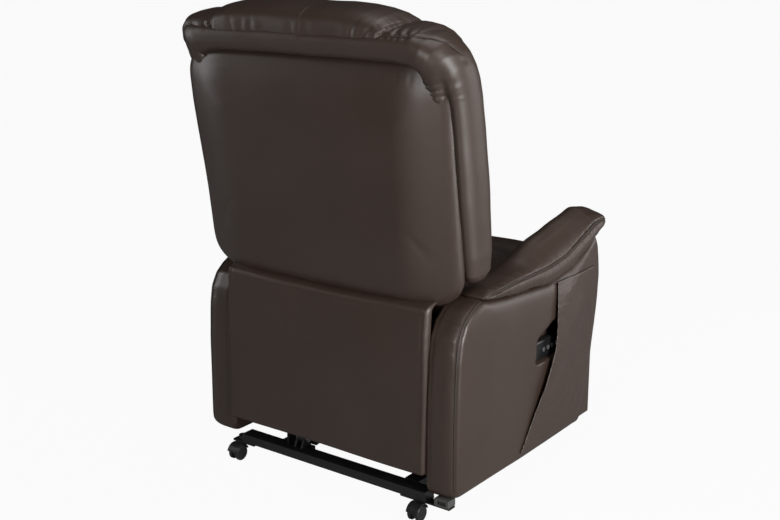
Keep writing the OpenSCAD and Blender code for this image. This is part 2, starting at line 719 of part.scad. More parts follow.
// Distance of the crowned outer face from the chair's middle plane, at a [y, z] place
function arm_face(p) =
  let (q = p - arm_mid, n = len(face_ring),
       shares = [for (i = [0:n - 1])
         let (a = face_ring[i] - arm_mid, b = face_ring[(i + 1) % n] - arm_mid, area = turn_2d(a, b))
         if (turn_2d(a, q) / area >= 0 && turn_2d(q, b) / area >= 0)
           (turn_2d(a, q) + turn_2d(q, b)) / area])
  arm_in + arm_t - arm_crown * (1 - lookup(-shares[0], [for (l = crown_levels) [-l[0], l[1]]]));

// Arm body: the outline carried across the arm's thickness, rounded over at both faces
module arm_body(side) {
  edge = arm_t - arm_crown;
  levels = concat([[9, 0, 1], [3, 2.5, 1], [0, 9, 1], [0, edge - 18, 1], [3, edge - 8, 1], [9, edge - 2, 1]],
                  [for (l = crown_levels) [face_inset, edge + arm_crown * l[1], l[0]]]);
  mirror([side < 0 ? 1 : 0, 0, 0])
    loft([for (l = levels)
      [for (p = shrink(arm_ring, l[0])) let (q = arm_mid + (p - arm_mid) * l[2]) [arm_in + l[1], q.x, q.y]]],
      true);
}

module left_arm_body() color(leather) arm_body(1);
module right_arm_body() color(leather) difference() {
  arm_body(-1);
  pocket_room();
}

// Arm roll: outer band, piping edge, sloping top and inner side
function roll_section(d) =
  let (u = lookup(d, under_seam) + soft_gap, s = lookup(d, piping), r = lookup(d, ridge))
  [[arm_out - 5, u], [arm_out + 3, u + (s - u) * 0.2], [arm_out + arm_bulge - 1, u + (s - u) * 0.55],
   [arm_out + 4, s - (s - u) * 0.06], [arm_out - 14, s + (r - s) * 0.42 + 3],
   [arm_out - 34, s + (r - s) * 0.82 + 2], [arm_out - 52, r], [arm_out - 68, r - 3],
   [arm_in + 5, r - 12], [arm_in + 0.5, r - 24], [arm_in, u + (r - u) * 0.3], [arm_in + 8, u],
   [(arm_in + arm_out) / 2, u]];

module arm_roll(side) {
  stations = [112, 136, 161, 207, 255, 304, 355, 406, 458, 508, 548, 588, 620, 646, 664, 675, 681];
  mid = (arm_in + arm_out) / 2;
  mirror([side < 0 ? 1 : 0, 0, 0]) loft([for (d = stations)
    let (first = d == stations[0], round_end = d > 646, sec = roll_section(min(d, 646)),
         k = first ? 0.5 : round_end ? sqrt(max(0, 1 - pow((d - 646) / 37, 2))) : 1,
         level = first ? lookup(d, under_seam) + soft_gap : average([for (p = sec) p.y]) + (round_end ? 8 : 0),
         tall = first ? 0.4 : k)
    [for (p = sec)
      [mid + (p.x - mid) * (0.72 + 0.28 * k), arm_rear_y - d * arm_stretch, level + (p.y - level) * tall]]]);
}
module left_arm_roll() color(leather) arm_roll(1);
module right_arm_roll() color(leather) arm_roll(-1);

// Pocket: the panel's rear edge as [y, z], from top to bottom
pocket_edge = [[-80, 490], [-66, 430], [-61, 380], [-54, 330], [-12, 250], [34, 172], [81, 98]];

// Room behind the panel, with a floor on which the handset lies
pocket_deep = 21;
module pocket_room() {
  floor_z = handset_z - handset_w / 2 - 0.3;
  slab(-arm_out - 1, pocket_deep + 1)
    polygon([[-215, floor_z], [-215, 396], [-59, 392], [13, 365], [19, floor_z]]);
}

panel_gap = soft_gap + 0.3;
panel_front_y = arm_rear_y - arm_len + 53;
panel_rows = 12;
panel_cols = 10;
function edge_y(z) = lookup(-z, [for (e = pocket_edge) [-e.y, e.x]]);
function pocket_swell(down, across) =
  pocket_bulge * sin(180 * (down * 0.94 + 0.05)) * pow(sin(90 * across), 1.4);

module pocket_panel() color(leather) {
  high = pocket_edge[0].y;
  low = pocket_edge[len(pocket_edge) - 1].y;
  outer = [for (i = [0:panel_rows], j = [0:panel_cols])
    let (down = i / panel_rows, t = j / panel_cols, z = high + (low - high) * down,
         y = panel_front_y + (edge_y(z) - panel_front_y) * t)
    [-(arm_face([y, z]) + panel_gap + pocket_t + pocket_swell(down, t)), y, z]];
  sheet_between(outer, [for (p = outer) p + [pocket_t, 0, 0]], panel_rows, panel_cols);
}

// Closed skin between two grids of points, each of rows by cols cells
module sheet_between(face, back, rows, cols) {
  w = cols + 1;
  count = len(face);
  skin = [for (i = [0:rows - 1], j = [0:cols - 1])
    each let (a = i * w + j, b = a + 1, c = b + w, d = a + w) [[a, c, b], [a, d, c]]];
  behind = [for (f = skin) [f[2] + count, f[1] + count, f[0] + count]];
  rim = concat([for (j = [0:cols]) j], [for (i = [1:rows]) i * w + cols],
               [for (j = [1:cols]) rows * w + cols - j], [for (i = [1:rows - 1]) (rows - i) * w]);
  edge = [for (k = [0:len(rim) - 1])
    each let (a = rim[k], b = rim[(k + 1) % len(rim)]) [[a, b, a + count], [b, b + count, a + count]]];
  polyhedron(concat(face, back), concat(skin, behind, edge));
}

// Handset -------------------------------------------------------------

handset_y = 4;
handset_z = 328;
handset_face = -arm_out + pocket_deep - 0.3 - handset_t;
key_d = 12;
key_proud = 1.6;
key_root = 2.2;
function key_y(k) = handset_y - 34 - 22 * k;
module handset_body() color(plastic) difference() {
  translate([handset_face + handset_t / 2, handset_y - handset_l, handset_z]) rotate([-90, 0, 0])
    linear_extrude(handset_l) housing_2d(handset_t, handset_w, 7);
  for (k = [0:3]) bar_x(handset_face - 1, handset_face + key_root + key_travel + 0.3, [key_y(k), handset_z],
      key_d + 0.8);
}
module key(k) color([0.3, 0.3, 0.32])
  bar_x(handset_face - key_proud, handset_face + key_root, [key_y(k), handset_z], key_d);
module key_back_down() { key(0); }
module key_back_up() { key(1); }
module key_lift_down() { key(2); }
module key_lift_up() { key(3); }

// Rear flap: leather skirt with a soft wave and a shallow dip in its top edge
flap_half_w = arm_in - 2;
flap_spread = 7;
flap_behind = 3.2;
flap_t = 2.5;
flap_low_z = 116;
flap_top_z = 502.1;
function flap_y(u, v) =
  arm_rear_y + flap_behind - (7 + flap_behind) * pow(v, 3) + 1.2 * sin(360 * (1.3 * u + 0.25 * v)) * (1 - v)
  - 0.8 * pow(abs(2 * u - 1), 3) - lookup(v, [[0.85, 0], [0.92, 4], [0.96, 12], [1, 29]]);
module rear_flap() color(leather) {
  cols = 20;
  rows = 12;
  face = [for (i = [0:rows], j = [0:cols])
    let (u = j / cols, v = sin(90 * i / rows), half = flap_half_w + flap_spread * v)
    [(2 * u - 1) * half, flap_y(u, v), flap_low_z + (flap_top_z - 9 * sin(180 * u) * v - flap_low_z) * v]];
  sheet_between(face, [for (p = face) p + [0, flap_t, 0]], rows, cols);
}

// Backrest ------------------------------------------------------------

back_rail_x = plate_x - 22;
module back_frame() color(steel) {
  rise = shell_h - 40;
  // hinge plates and hinge tube
  both() slab(back_rail_x, 20) difference() {
    union() {
      translate(back_pivot) circle(d = 44);
      polygon([back_pivot + [5, 0], back_pivot + [20, 0], [shell_foot_y - 16, shell_foot_z + 47],
          [shell_foot_y - 24, shell_foot_z + 47]]);
    }
    translate(back_pivot) circle(d = bolt_d + 2 * bolt_play);
  }
  bar_x(-back_rail_x - 1, back_rail_x + 1, back_pivot, frame_tube_d);
  crank_plates(back_x, back_pivot, back_crank_angle, back_crank_r, 7, 1.2, frame_tube_d);
  // leaning frame
  on_back() {
    both() bar([back_rail_x + 1, -shell_d + 10, 30], [back_rail_x + 19, -12, rise]);
    bar([-back_rail_x - 18, -shell_d + 10, rise - 25], [back_rail_x + 18, -12, rise]);
    bar([-back_rail_x - 3, -shell_d + 10, 40], [back_rail_x + 3, -12, 62]);
  }
}

back_spring_pitch = shell_h / 6;
module back_springs() color(zinc) on_back() for (k = [0:4])
  translate([0, -shell_d + 10 - spring_d / 2 + 0.2, back_spring_pitch * (k + 1)])
    rotate([0, 0, 90]) rotate([0, 90, 0]) sinuous_cross();
module sinuous_cross() {
  waves = 14;
  steps = waves * 6;
  tube([for (i = [0:steps]) let (t = i / steps)
    [18 * sin(360 * waves * t / 2), -back_rail_x - 10 + (2 * back_rail_x + 20) * t, 0]], spring_d, 6);
}

// Height along the lean at which the head cushion starts
head_low = shell_h + 3;

// Shell outline ring, with large lower corners and smaller upper ones
function shell_ring(inset, y) = let (
    hw = shell_half_w - inset, h0 = inset, h1 = shell_h - inset, rb = 84 - inset * 0.7, rt = 58 - inset * 0.6)
  concat(
    [for (k = [0:6]) let (a = -90 + 15 * k) [hw - rb + rb * cos(a), y, h0 + rb + rb * sin(a)]],
    [for (k = [0:6]) let (a = 15 * k) [hw - rt + rt * cos(a), y, h1 - rt + rt * sin(a)]],
    [for (k = [0:6]) let (a = 90 + 15 * k) [-hw + rt + rt * cos(a), y, h1 - rt + rt * sin(a)]],
    [for (k = [0:6]) let (a = 180 + 15 * k) [-hw + rb + rb * cos(a), y, h0 + rb + rb * sin(a)]]);

module back_shell() color(leather) on_back() difference() {
  loft([for (l = [[3, -shell_d], [0, -shell_d + 8], [0, -22], [3, -12], [10, -4], [22, 0],
      [60, shell_crown * 0.45], [130, shell_crown * 0.85]])
    shell_ring(l[0], l[1])], true);
  // hollow for the frame, open to the front
  translate([0, -12, 0]) rotate([90, 0, 0]) linear_extrude(shell_d)
    translate([-back_rail_x - 22, -60]) square([2 * back_rail_x + 44, shell_h + 30]);
}

// Side bolster: one long stuffed roll beside the back cushions
module bolster(side) {
  in_x = bolster_half_w - bolster_w;
  top = head_low - soft_gap;
  foot = 52;
  stations = [[0, 0.55], [0.02, 0.84], [0.06, 0.96], [0.2, 1], [0.45, 1], [0.7, 1], [0.9, 1], [0.985, 0.99],
      [1, 0.95]];
  mirror([side < 0 ? 1 : 0, 0, 0]) on_back()
    loft([for (s = stations) let (z = foot + (top - foot) * s[0], cx = in_x + bolster_w / 2,
        cy = -shell_d - soft_gap - cushion_d / 2 + 10)
      [for (i = [0:27]) let (a = 360 * i / 28, c = cos(a), n = sin(a))
        [cx + s[1] * bolster_w / 2 * sign(c) * pow(abs(c), 0.85),
         cy + s[1] * (cushion_d / 2 - 10) * sign(n) * pow(abs(n), 0.85), z]]]);
}
module left_bolster() color(leather) bolster(1);
module right_bolster() color(leather) bolster(-1);

// Back cushions stand between the bolsters, face forward and lean with the back
back_cushion_w = 2 * (bolster_half_w - bolster_w - soft_gap - 2);
lumbar_w = min(back_cushion_w, arm_gap - 2 * soft_gap - 4);
module back_pad(width, low, high, t, crown) on_back()
  translate([0, -shell_d - soft_gap, (low + high) / 2]) rotate([90, 0, 0])
      pad(width, high - low, t, crown, 0);
lumbar_low = -34;
lumbar_top = 196;
module lumbar_cushion() color(leather) back_pad(lumbar_w, lumbar_low, lumbar_top, cushion_d - 20, 16);
module back_cushion() color(leather) back_pad(back_cushion_w, lumbar_top + soft_gap, head_low - soft_gap,
    cushion_d - 30, 16);

// Head cushion: a full roll over the shell's top edge, whose ends round down onto the bolsters.
// Stations across the width: share of the half width, height lost, and how far the rear face steps forward
head_stations = [[0, 0, 0], [0.35, 2, 0], [0.56, 8, 0], [0.64, 17, 0], [0.7, 31, 0], [0.78, 45, 1],
    [0.86, 54, 5],
                 [0.92, 65, 13], [0.96, 79, 24], [0.985, 93, 36], [1, 104, 48]];
head_rear = 7;
head_front = -171;
module head_cushion() color(leather) on_back() {
  last = len(head_stations) - 1;
  loft(concat([for (k = [last:-1:1]) head_ring(-1, head_stations[k])],
      [for (k = [0:last]) head_ring(1, head_stations[k])]));
}
function head_ring(side, s) =
  let (h = head_h - s[1], rear = head_rear - s[2], front = head_front + s[2] * 0.5, cy = (rear + front) / 2,
       hy = (rear - front) / 2, cz = head_low + h / 2)
  [for (i = [0:35]) let (a = 360 * i / 36, c = cos(a), n = sin(a))
    [side * s[0] * bolster_half_w, cy + hy * sign(c) * pow(abs(c), 0.7),
        cz + h / 2 * sign(n) * pow(abs(n), n < 0 ? 0.45 : 0.8)]];

back_reach = norm(back_eye - back_base_pivot);
module back_gear_motor() color(plastic) on_actuator(back_x, back_base_pivot, back_eye) gear_motor(1);
module back_outer_tube() color(zinc) on_actuator(back_x, back_base_pivot, back_eye) outer_tube(300);
module back_rod() color(zinc) on_actuator(back_x, back_base_pivot, back_eye) push_rod(240, back_reach);

// Footrest ------------------------------------------------------------

leg_reach = norm(leg_eye - leg_base_pivot);
module leg_gear_motor() color(plastic) on_actuator(leg_x, leg_base_pivot, leg_eye) gear_motor(-1);
module leg_outer_tube() color(zinc) on_actuator(leg_x, leg_base_pivot, leg_eye) outer_tube(290);
module leg_rod() color(zinc) on_actuator(leg_x, leg_base_pivot, leg_eye) push_rod(200, leg_reach);

pin_hole = bolt_d + 2 * bolt_play;
module footrest_drive_links() color(steel) {
  both() slab(drive_link_x, leg_link_t) difference() {
    union() {
      link_2d(foot_p2, foot_x, leg_link_w);
      link_2d(foot_x, foot_b1, leg_link_w);
    }
    holes_2d([foot_p2, foot_x, foot_b1], pin_hole);
  }
  difference() {
    bar_x(-drive_link_x, drive_link_x, foot_p2, frame_tube_d);
    both() bar_x(drive_link_x - 15, drive_link_x + 1, foot_p2, pin_hole);
  }
  crank_plates(leg_x, foot_p2, leg_crank_angle, leg_crank_r, 12, 2.9, frame_tube_d);
}

// Links beside the side plates; each carries the pin it shares with its coupler
module footrest_side_links() color(steel) both() {
  slab(side_link_x, leg_link_t) difference() {
    link_2d(foot_p1, foot_a1, leg_link_w);
    translate(foot_p1) circle(d = pin_hole);
  }
  bar_x(coupler_x - 0.6, side_link_x + 1, foot_a1, bolt_d);
}

module footrest_couplers() color(steel) both() {
  slab(coupler_x, leg_link_t) difference() {
    union() {
      link_2d(foot_a1, foot_x, leg_link_w);
      link_2d(foot_x, foot_q1, leg_link_w - 4);
    }
    translate(foot_a1) circle(d = pin_hole);
  }
  bar_x(drive_link_x - 0.6, coupler_x + 1, foot_x, bolt_d);
  bar_x(drive_link_x - 0.6, coupler_x + 1, foot_q1, bolt_d);
}

module footrest_struts() color(steel) both() {
  slab(strut_x, leg_link_t) link_2d(foot_b1, foot_q2, leg_link_w - 4);
  bar_x(strut_x + 1, drive_link_x + leg_link_t + 0.6, foot_b1, bolt_d);
  bar_x(strut_x + 1, drive_link_x + leg_link_t + 0.6, foot_q2, bolt_d);
}

module footrest_brackets() color(steel) both() {
  slab(drive_link_x, leg_link_t) difference() {
    union() {
      translate(foot_q1) circle(d = leg_link_w);
      translate(foot_q2) circle(d = leg_link_w);
      polygon([[foot_board_y, foot_q2.y - 20], foot_q2 + [8, -8], foot_q1 + [8, 8],
          [foot_board_y, foot_q1.y + 12]]);
    }
    holes_2d([foot_q1, foot_q2], pin_hole);
  }
  bar([drive_link_x - 24, foot_board_y, foot_q2.y - 20],
      [drive_link_x + 1, foot_board_y + 3.5, foot_q1.y + 10]);
}

foot_low_z = 112;
module footrest_board() color([0.55, 0.42, 0.28])
  bar([-foot_w / 2 + 18, foot_board_y - foot_board_t, foot_low_z + 12],
      [foot_w / 2 - 18, foot_board_y, foot_low_z + foot_h - 4]);

module footrest_pad() color(leather)
  translate([0, foot_board_y - foot_board_t - soft_gap, foot_low_z + foot_h / 2])
    rotate([90, 0, 0]) pad(foot_w, foot_h, foot_t - 8, 8, 0.012);

// Nodes ---------------------------------------------------------------

base_frame();
base_end_caps();
front_glides();
base_pivot_bolts();
power_inlet();
left_castor_fork();
right_castor_fork();
left_castor_wheels();
right_castor_wheels();
front_lift_links();
rear_lift_links();
lift_gear_motor();
lift_outer_tube();
lift_rod();
seat_side_plates();
seat_frame();
seat_pivot_bolts();
seat_springs();
arm_brackets();
seat_cushion();
seat_front_roll();
left_arm_body();
right_arm_body();
left_arm_roll();
right_arm_roll();
pocket_panel();
handset_body();
key_back_down();
key_back_up();
key_lift_down();
key_lift_up();
rear_flap();
control_box();
back_frame();
back_springs();
back_shell();
left_bolster();
right_bolster();
lumbar_cushion();
back_cushion();
head_cushion();
back_gear_motor();
back_outer_tube();
back_rod();
leg_gear_motor();
leg_outer_tube();
leg_rod();
footrest_drive_links();
footrest_side_links();
footrest_couplers();
footrest_struts();
footrest_brackets();
footrest_board();
footrest_pad();
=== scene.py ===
# Lift recliner chair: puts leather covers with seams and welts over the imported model's soft pieces, and gives
# every other piece its finish.
import json
import math

import bmesh
import bpy
import numpy as np
from mathutils import Euler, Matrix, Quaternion, Vector
from mathutils.bvhtree import BVHTree


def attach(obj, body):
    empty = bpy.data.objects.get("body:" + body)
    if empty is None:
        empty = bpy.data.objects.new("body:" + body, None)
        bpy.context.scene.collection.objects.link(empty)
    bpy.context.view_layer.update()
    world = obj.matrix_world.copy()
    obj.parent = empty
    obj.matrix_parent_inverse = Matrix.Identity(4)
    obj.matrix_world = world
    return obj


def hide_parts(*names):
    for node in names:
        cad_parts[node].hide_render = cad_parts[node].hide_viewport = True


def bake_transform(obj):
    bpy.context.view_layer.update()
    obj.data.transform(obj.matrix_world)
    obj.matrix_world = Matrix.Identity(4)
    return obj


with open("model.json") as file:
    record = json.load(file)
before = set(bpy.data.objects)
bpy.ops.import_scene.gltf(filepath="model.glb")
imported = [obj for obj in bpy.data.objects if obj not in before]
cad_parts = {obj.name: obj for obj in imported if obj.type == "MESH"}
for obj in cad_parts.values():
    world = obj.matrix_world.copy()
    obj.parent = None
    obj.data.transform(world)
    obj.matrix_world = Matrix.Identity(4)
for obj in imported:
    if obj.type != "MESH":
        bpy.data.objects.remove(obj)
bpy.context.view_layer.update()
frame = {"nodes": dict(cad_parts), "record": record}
scene = bpy.context.scene
scene.view_settings.view_transform = "Standard"

# Camera and stage -------------------------------------------------------

# The camera looks along its heading, tipped down by its pitch; lens and sensor are in mm
CAMERA_PLACE = (-1.76615, 2.44198, 1.32492)
CAMERA_HEADING = math.radians(-53.161)
CAMERA_PITCH = math.radians(15.299)
CAMERA_ROLL = math.radians(-0.2)
CAMERA_LENS = 55.75
CAMERA_SENSOR = 36
FLOOR_REACH = 60
FLOOR_GREY = 0.34
FLOOR_ROUGHNESS = 0.9


def link(piece):
    scene.collection.objects.link(piece)
    return piece


def aimed(piece, direction):
    piece.rotation_euler = Vector(direction).to_track_quat("-Z", "Y").to_euler()
    return piece


def make_camera():
    data = bpy.data.cameras.new("camera")
    data.lens = CAMERA_LENS
    data.sensor_width = CAMERA_SENSOR
    camera = link(bpy.data.objects.new("camera", data))
    camera.location = CAMERA_PLACE
    camera.rotation_euler = (
        Euler((math.pi / 2 - CAMERA_PITCH, 0, CAMERA_HEADING - math.pi / 2)).to_quaternion()
        @ Quaternion((0, 0, 1), CAMERA_ROLL)).to_euler()
    scene.camera = camera


def softbox(name, place, target, size, power):
    """A rectangular lamp at a place, turned to its target; size in metres and power in watts."""
    data = bpy.data.lights.new(name, "AREA")
    data.shape = "RECTANGLE"
    data.size, data.size_y = size
    data.energy = power
    lamp = link(bpy.data.objects.new(name, data))
    lamp.location = place
    aimed(lamp, Vector(target) - Vector(place))


def make_world(shade, shown):
    """A surround that lights the scene with one grey and shows the camera another."""
    world = bpy.data.worlds.new("studio")
    world.use_nodes = True
    scene.world = world
    nodes, links = world.node_tree.nodes, world.node_tree.links
    lit = nodes["Background"]
    lit.inputs["Color"].default_value = (shade, shade, shade, 1)
    seen = nodes.new("ShaderNodeBackground")
    seen.inputs["Color"].default_value = (shown, shown, shown, 1)
    ray = nodes.new("ShaderNodeLightPath")
    pick = nodes.new("ShaderNodeMixShader")
    links.new(ray.outputs["Is Camera Ray"], pick.inputs["Fac"])
    links.new(lit.outputs[0], pick.inputs[1])
    links.new(seen.outputs[0], pick.inputs[2])
    links.new(pick.outputs[0], nodes["World Output"].inputs["Surface"])


def make_floor(paleness):
    """A floor that bounces light as grey paint, and is mixed toward plain white for the camera."""
    material = bpy.data.materials.new("pale_floor")
    material.use_nodes = True
    nodes, links = material.node_tree.nodes, material.node_tree.links
    paint = nodes["Principled BSDF"]
    paint.inputs["Base Color"].default_value = (FLOOR_GREY, FLOOR_GREY, FLOOR_GREY, 1)
    paint.inputs["Roughness"].default_value = FLOOR_ROUGHNESS
    glow = nodes.new("ShaderNodeEmission")
    ray = nodes.new("ShaderNodeLightPath")
    share = nodes.new("ShaderNodeMath")
    share.operation = "MULTIPLY"
    share.inputs[1].default_value = paleness
    pick = nodes.new("ShaderNodeMixShader")
    links.new(ray.outputs["Is Camera Ray"], share.inputs[0])
    links.new(share.outputs[0], pick.inputs["Fac"])
    links.new(paint.outputs[0], pick.inputs[1])
    links.new(glow.outputs[0], pick.inputs[2])
    links.new(pick.outputs[0], nodes["Material Output"].inputs["Surface"])
    mesh = bpy.data.meshes.new("floor")
    corners = ((-1, -1), (1, -1), (1, 1), (-1, 1))
    mesh.from_pydata([(x * FLOOR_REACH, y * FLOOR_REACH, 0) for x, y in corners], [], [(0, 1, 2, 3)])
    mesh.materials.append(material)
    link(bpy.data.objects.new("floor", mesh))


make_camera()
make_world(shade=0.012, shown=1.0)
make_floor(paleness=0.95)
softbox("right_softbox", (-3.3, 0.75, 1.3), (0, 0.1, 0.6), (1.2, 2.4), 135)
softbox("rear_strip_light", (-0.85, 3.2, 1.3), (-0.3, 0.35, 0.75), (0.26, 1.6), 40)
softbox("left_softbox", (2.9, 1.7, 1.3), (0.2, 0.3, 0.8), (0.5, 1.8), 20)
softbox("front_softbox", (-2.5, -2.7, 1.1), (-0.2, 0, 0.5), (1.7, 2.0), 30)
softbox("top_softbox", (-0.4, 0.0, 3.4), (0, 0.1, 0.6), (2.2, 1.6), 28)

# Finishes ---------------------------------------------------------------

# The part of a mask's range that is spread over a finish's roughness
MASK_RANGE = (0.3, 0.7)
HIDE_COLOURS = ((0.033, 0.0208, 0.0158), (0.046, 0.0295, 0.0228))


def shader_group(name, values, outputs):
    """An empty node group with float inputs and the given outputs, and its first nodes."""
    group = bpy.data.node_groups.new(name, "ShaderNodeTree")
    for key, value in values.items():
        socket = group.interface.new_socket(name=key, in_out="INPUT", socket_type="NodeSocketFloat")
        socket.default_value = value
    for key in outputs:
        group.interface.new_socket(name=key, in_out="OUTPUT", socket_type="NodeSocketFloat")
    return group, group.nodes.new("NodeGroupInput"), group.nodes.new("NodeGroupOutput")


def math_node(tree, kind, first, second):
    node = tree.nodes.new("ShaderNodeMath")
    node.operation = kind
    for slot, value in enumerate((first, second)):
        if isinstance(value, (int, float)):
            node.inputs[slot].default_value = value
        else:
            tree.links.new(value, node.inputs[slot])
    return node.outputs[0]


def noise_node(tree, place, scale, detail):
    node = tree.nodes.new("ShaderNodeTexNoise")
    tree.links.new(place, node.inputs["Vector"])
    if isinstance(scale, (int, float)):
        node.inputs["Scale"].default_value = scale
    else:
        tree.links.new(scale, node.inputs["Scale"])
    node.inputs["Detail"].default_value = detail
    return node.outputs["Fac"]


def make_leather_group():
    """Leather surface: pebbled pores, finer wrinkles, and broad blotches of colour and gloss."""
    group, given, out = shader_group(
        "leather_surface",
        {"Pore Scale": 620, "Pore Depth": 1.0, "Wrinkle Scale": 70, "Wrinkle Depth": 1.0, "Blotch Scale": 5},
        ["Height", "Blotch"])
    place = group.nodes.new("ShaderNodeTexCoord").outputs["Object"]
    pores = group.nodes.new("ShaderNodeTexVoronoi")
    pores.feature = "SMOOTH_F1"
    group.links.new(place, pores.inputs["Vector"])
    group.links.new(given.outputs["Pore Scale"], pores.inputs["Scale"])
    pebble = math_node(group, "SUBTRACT", 1.0, pores.outputs["Distance"])
    wrinkle = noise_node(group, place, given.outputs["Wrinkle Scale"], 4)
    raised = math_node(group, "MULTIPLY", pebble, given.outputs["Pore Depth"])
    folded = math_node(group, "MULTIPLY", wrinkle, given.outputs["Wrinkle Depth"])
    group.links.new(math_node(group, "ADD", raised, folded), out.inputs["Height"])
    group.links.new(noise_node(group, place, given.outputs["Blotch Scale"], 3), out.inputs["Blotch"])
    return group


def make_speckle_group():
    """Fine unevenness of paint, moulded plastic and metal, with a dusting mask."""
    group, given, out = shader_group(
        "fine_speckle", {"Scale": 900, "Stretch": 1.0, "Dust Scale": 14}, ["Height", "Dust"])
    coords = group.nodes.new("ShaderNodeTexCoord").outputs["Object"]
    drawn = group.nodes.new("ShaderNodeMapping")
    group.links.new(coords, drawn.inputs["Vector"])
    stretch = group.nodes.new("ShaderNodeCombineXYZ")
    group.links.new(given.outputs["Stretch"], stretch.inputs["X"])
    stretch.inputs["Y"].default_value = 1
    stretch.inputs["Z"].default_value = 1
    group.links.new(stretch.outputs[0], drawn.inputs["Scale"])
    group.links.new(noise_node(group, drawn.outputs[0], given.outputs["Scale"], 2), out.inputs["Height"])
    group.links.new(noise_node(group, coords, given.outputs["Dust Scale"], 4), out.inputs["Dust"])
    return group


def finish(name, group, settings, colours, roughness, strength, depth, masks, metallic=0.0):
    """A material whose colour and roughness each vary with a mask of its surface group."""
    material = bpy.data.materials.new(name)
    material.use_nodes = True
    tree = material.node_tree
    nodes, links = tree.nodes, tree.links
    shader = nodes["Principled BSDF"]
    surface = nodes.new("ShaderNodeGroup")
    surface.node_tree = group
    for key, value in settings.items():
        surface.inputs[key].default_value = value
    tint = nodes.new("ShaderNodeMix")
    tint.data_type = "RGBA"
    tint.inputs["A"].default_value = (*colours[0], 1)
    tint.inputs["B"].default_value = (*colours[1], 1)
    links.new(surface.outputs[masks[0]], tint.inputs["Factor"])
    links.new(tint.outputs["Result"], shader.inputs["Base Color"])
    gloss = nodes.new("ShaderNodeMapRange")
    for end, seen, wanted in (("Min", MASK_RANGE[0], roughness[0]), ("Max", MASK_RANGE[1], roughness[1])):
        gloss.inputs["From " + end].default_value = seen
        gloss.inputs["To " + end].default_value = wanted
    links.new(surface.outputs[masks[1]], gloss.inputs["Value"])
    links.new(gloss.outputs["Result"], shader.inputs["Roughness"])
    grain = nodes.new("ShaderNodeBump")
    grain.inputs["Strength"].default_value = strength
    grain.inputs["Distance"].default_value = depth
    links.new(surface.outputs["Height"], grain.inputs["Height"])
    links.new(grain.outputs["Normal"], shader.inputs["Normal"])
    shader.inputs["Metallic"].default_value = metallic
    return material


leather_surface = make_leather_group()
fine_speckle = make_speckle_group()


def leather(name, settings, colours, roughness, strength):
    return finish(name, leather_surface, settings, colours, roughness, strength, 0.0005, ("Blotch", "Blotch"))


def speckled(name, settings, colours, roughness, strength, depth, masks=("Dust", "Dust"), metallic=0.0):
    return finish(name, fine_speckle, settings, colours, roughness, strength, depth, masks, metallic)


hide = leather("brown_leather", {}, HIDE_COLOURS, (0.40, 0.46), 0.25)
tight_hide = leather("tight_brown_leather", {"Wrinkle Depth": 0.5, "Wrinkle Scale": 30}, HIDE_COLOURS,
                     (0.34, 0.39), 0.2)
seam_hide = leather("seam_leather", {"Pore Scale": 900}, ((0.026, 0.019, 0.0155), (0.036, 0.027, 0.0225)),
                    (0.42, 0.5), 0.2)
finishes = {
    "black_steel": speckled(
        "black_painted_steel", {}, ((0.004, 0.004, 0.0045), (0.008, 0.008, 0.0085)),
        (0.34, 0.46), 0.12, 0.0003),
    "zinc": speckled(
        "zinc_plated_steel", {"Scale": 500, "Stretch": 6}, ((0.55, 0.56, 0.58), (0.66, 0.66, 0.67)),
        (0.26, 0.4), 0.1, 0.0002, ("Dust", "Height"), metallic=1.0),
    "black_plastic": speckled(
        "black_moulded_plastic", {"Scale": 1400}, ((0.006, 0.006, 0.0065), (0.011, 0.011, 0.0115)),
        (0.3, 0.42), 0.15, 0.0003),
    "key_grey": speckled(
        "grey_key_rubber", {"Scale": 1600}, ((0.06, 0.06, 0.063), (0.09, 0.09, 0.094)),
        (0.5, 0.6), 0.2, 0.0002),
    "wheel_rubber": speckled(
        "castor_rubber", {"Scale": 700}, ((0.004, 0.004, 0.0045), (0.01, 0.01, 0.0105)),
        (0.32, 0.5), 0.2, 0.0003),
    "inlet_grey": speckled(
        "grey_inlet_plastic", {"Scale": 1200}, ((0.05, 0.05, 0.048), (0.075, 0.075, 0.07)),
        (0.42, 0.52), 0.15, 0.0003),
    "plywood": speckled(
        "birch_plywood", {"Scale": 160, "Stretch": 0.1}, ((0.5, 0.36, 0.22), (0.62, 0.47, 0.31)),
        (0.5, 0.65), 0.2, 0.0004, ("Height", "Dust")),
    "leather": hide,
}
slots = {part["node"]: part["material_slot"] for part in frame["record"]["subparts"]}
for node, piece in frame["nodes"].items():
    piece.data.materials.clear()
    piece.data.materials.append(finishes[slots[node]])

# Leatherwork tools --------------------------------------------------------

AIR_PRESSURE = 4
AIR_FRAMES = 20
# The share of a gathered line's length over which its puckers fade in and out
GATHER_FADE = 0.06
# Distance between the points of a cushion's seam and of a quilting line
SEAM_PITCH = 0.012
QUILT_PITCH = 0.02


def read_vectors(items, field):
    found = np.empty(len(items) * 3)
    items.foreach_get(field, found)
    return found.reshape(-1, 3)


def places(piece):
    return read_vectors(piece.data.vertices, "co")


def move_to(piece, points):
    piece.data.vertices.foreach_set("co", np.ascontiguousarray(points).ravel())
    piece.data.update()


def outward(piece):
    return read_vectors(piece.data.vertex_normals, "vector")


def smooth_shade(mesh):
    for face in mesh.polygons:
        face.use_smooth = True


def use_modifiers(piece):
    """Applies the piece's modifiers, leaving a plain mesh."""
    graph = bpy.context.evaluated_depsgraph_get()
    mesh = bpy.data.meshes.new_from_object(piece.evaluated_get(graph))
    old = piece.data
    piece.modifiers.clear()
    piece.data = mesh
    bpy.data.meshes.remove(old)


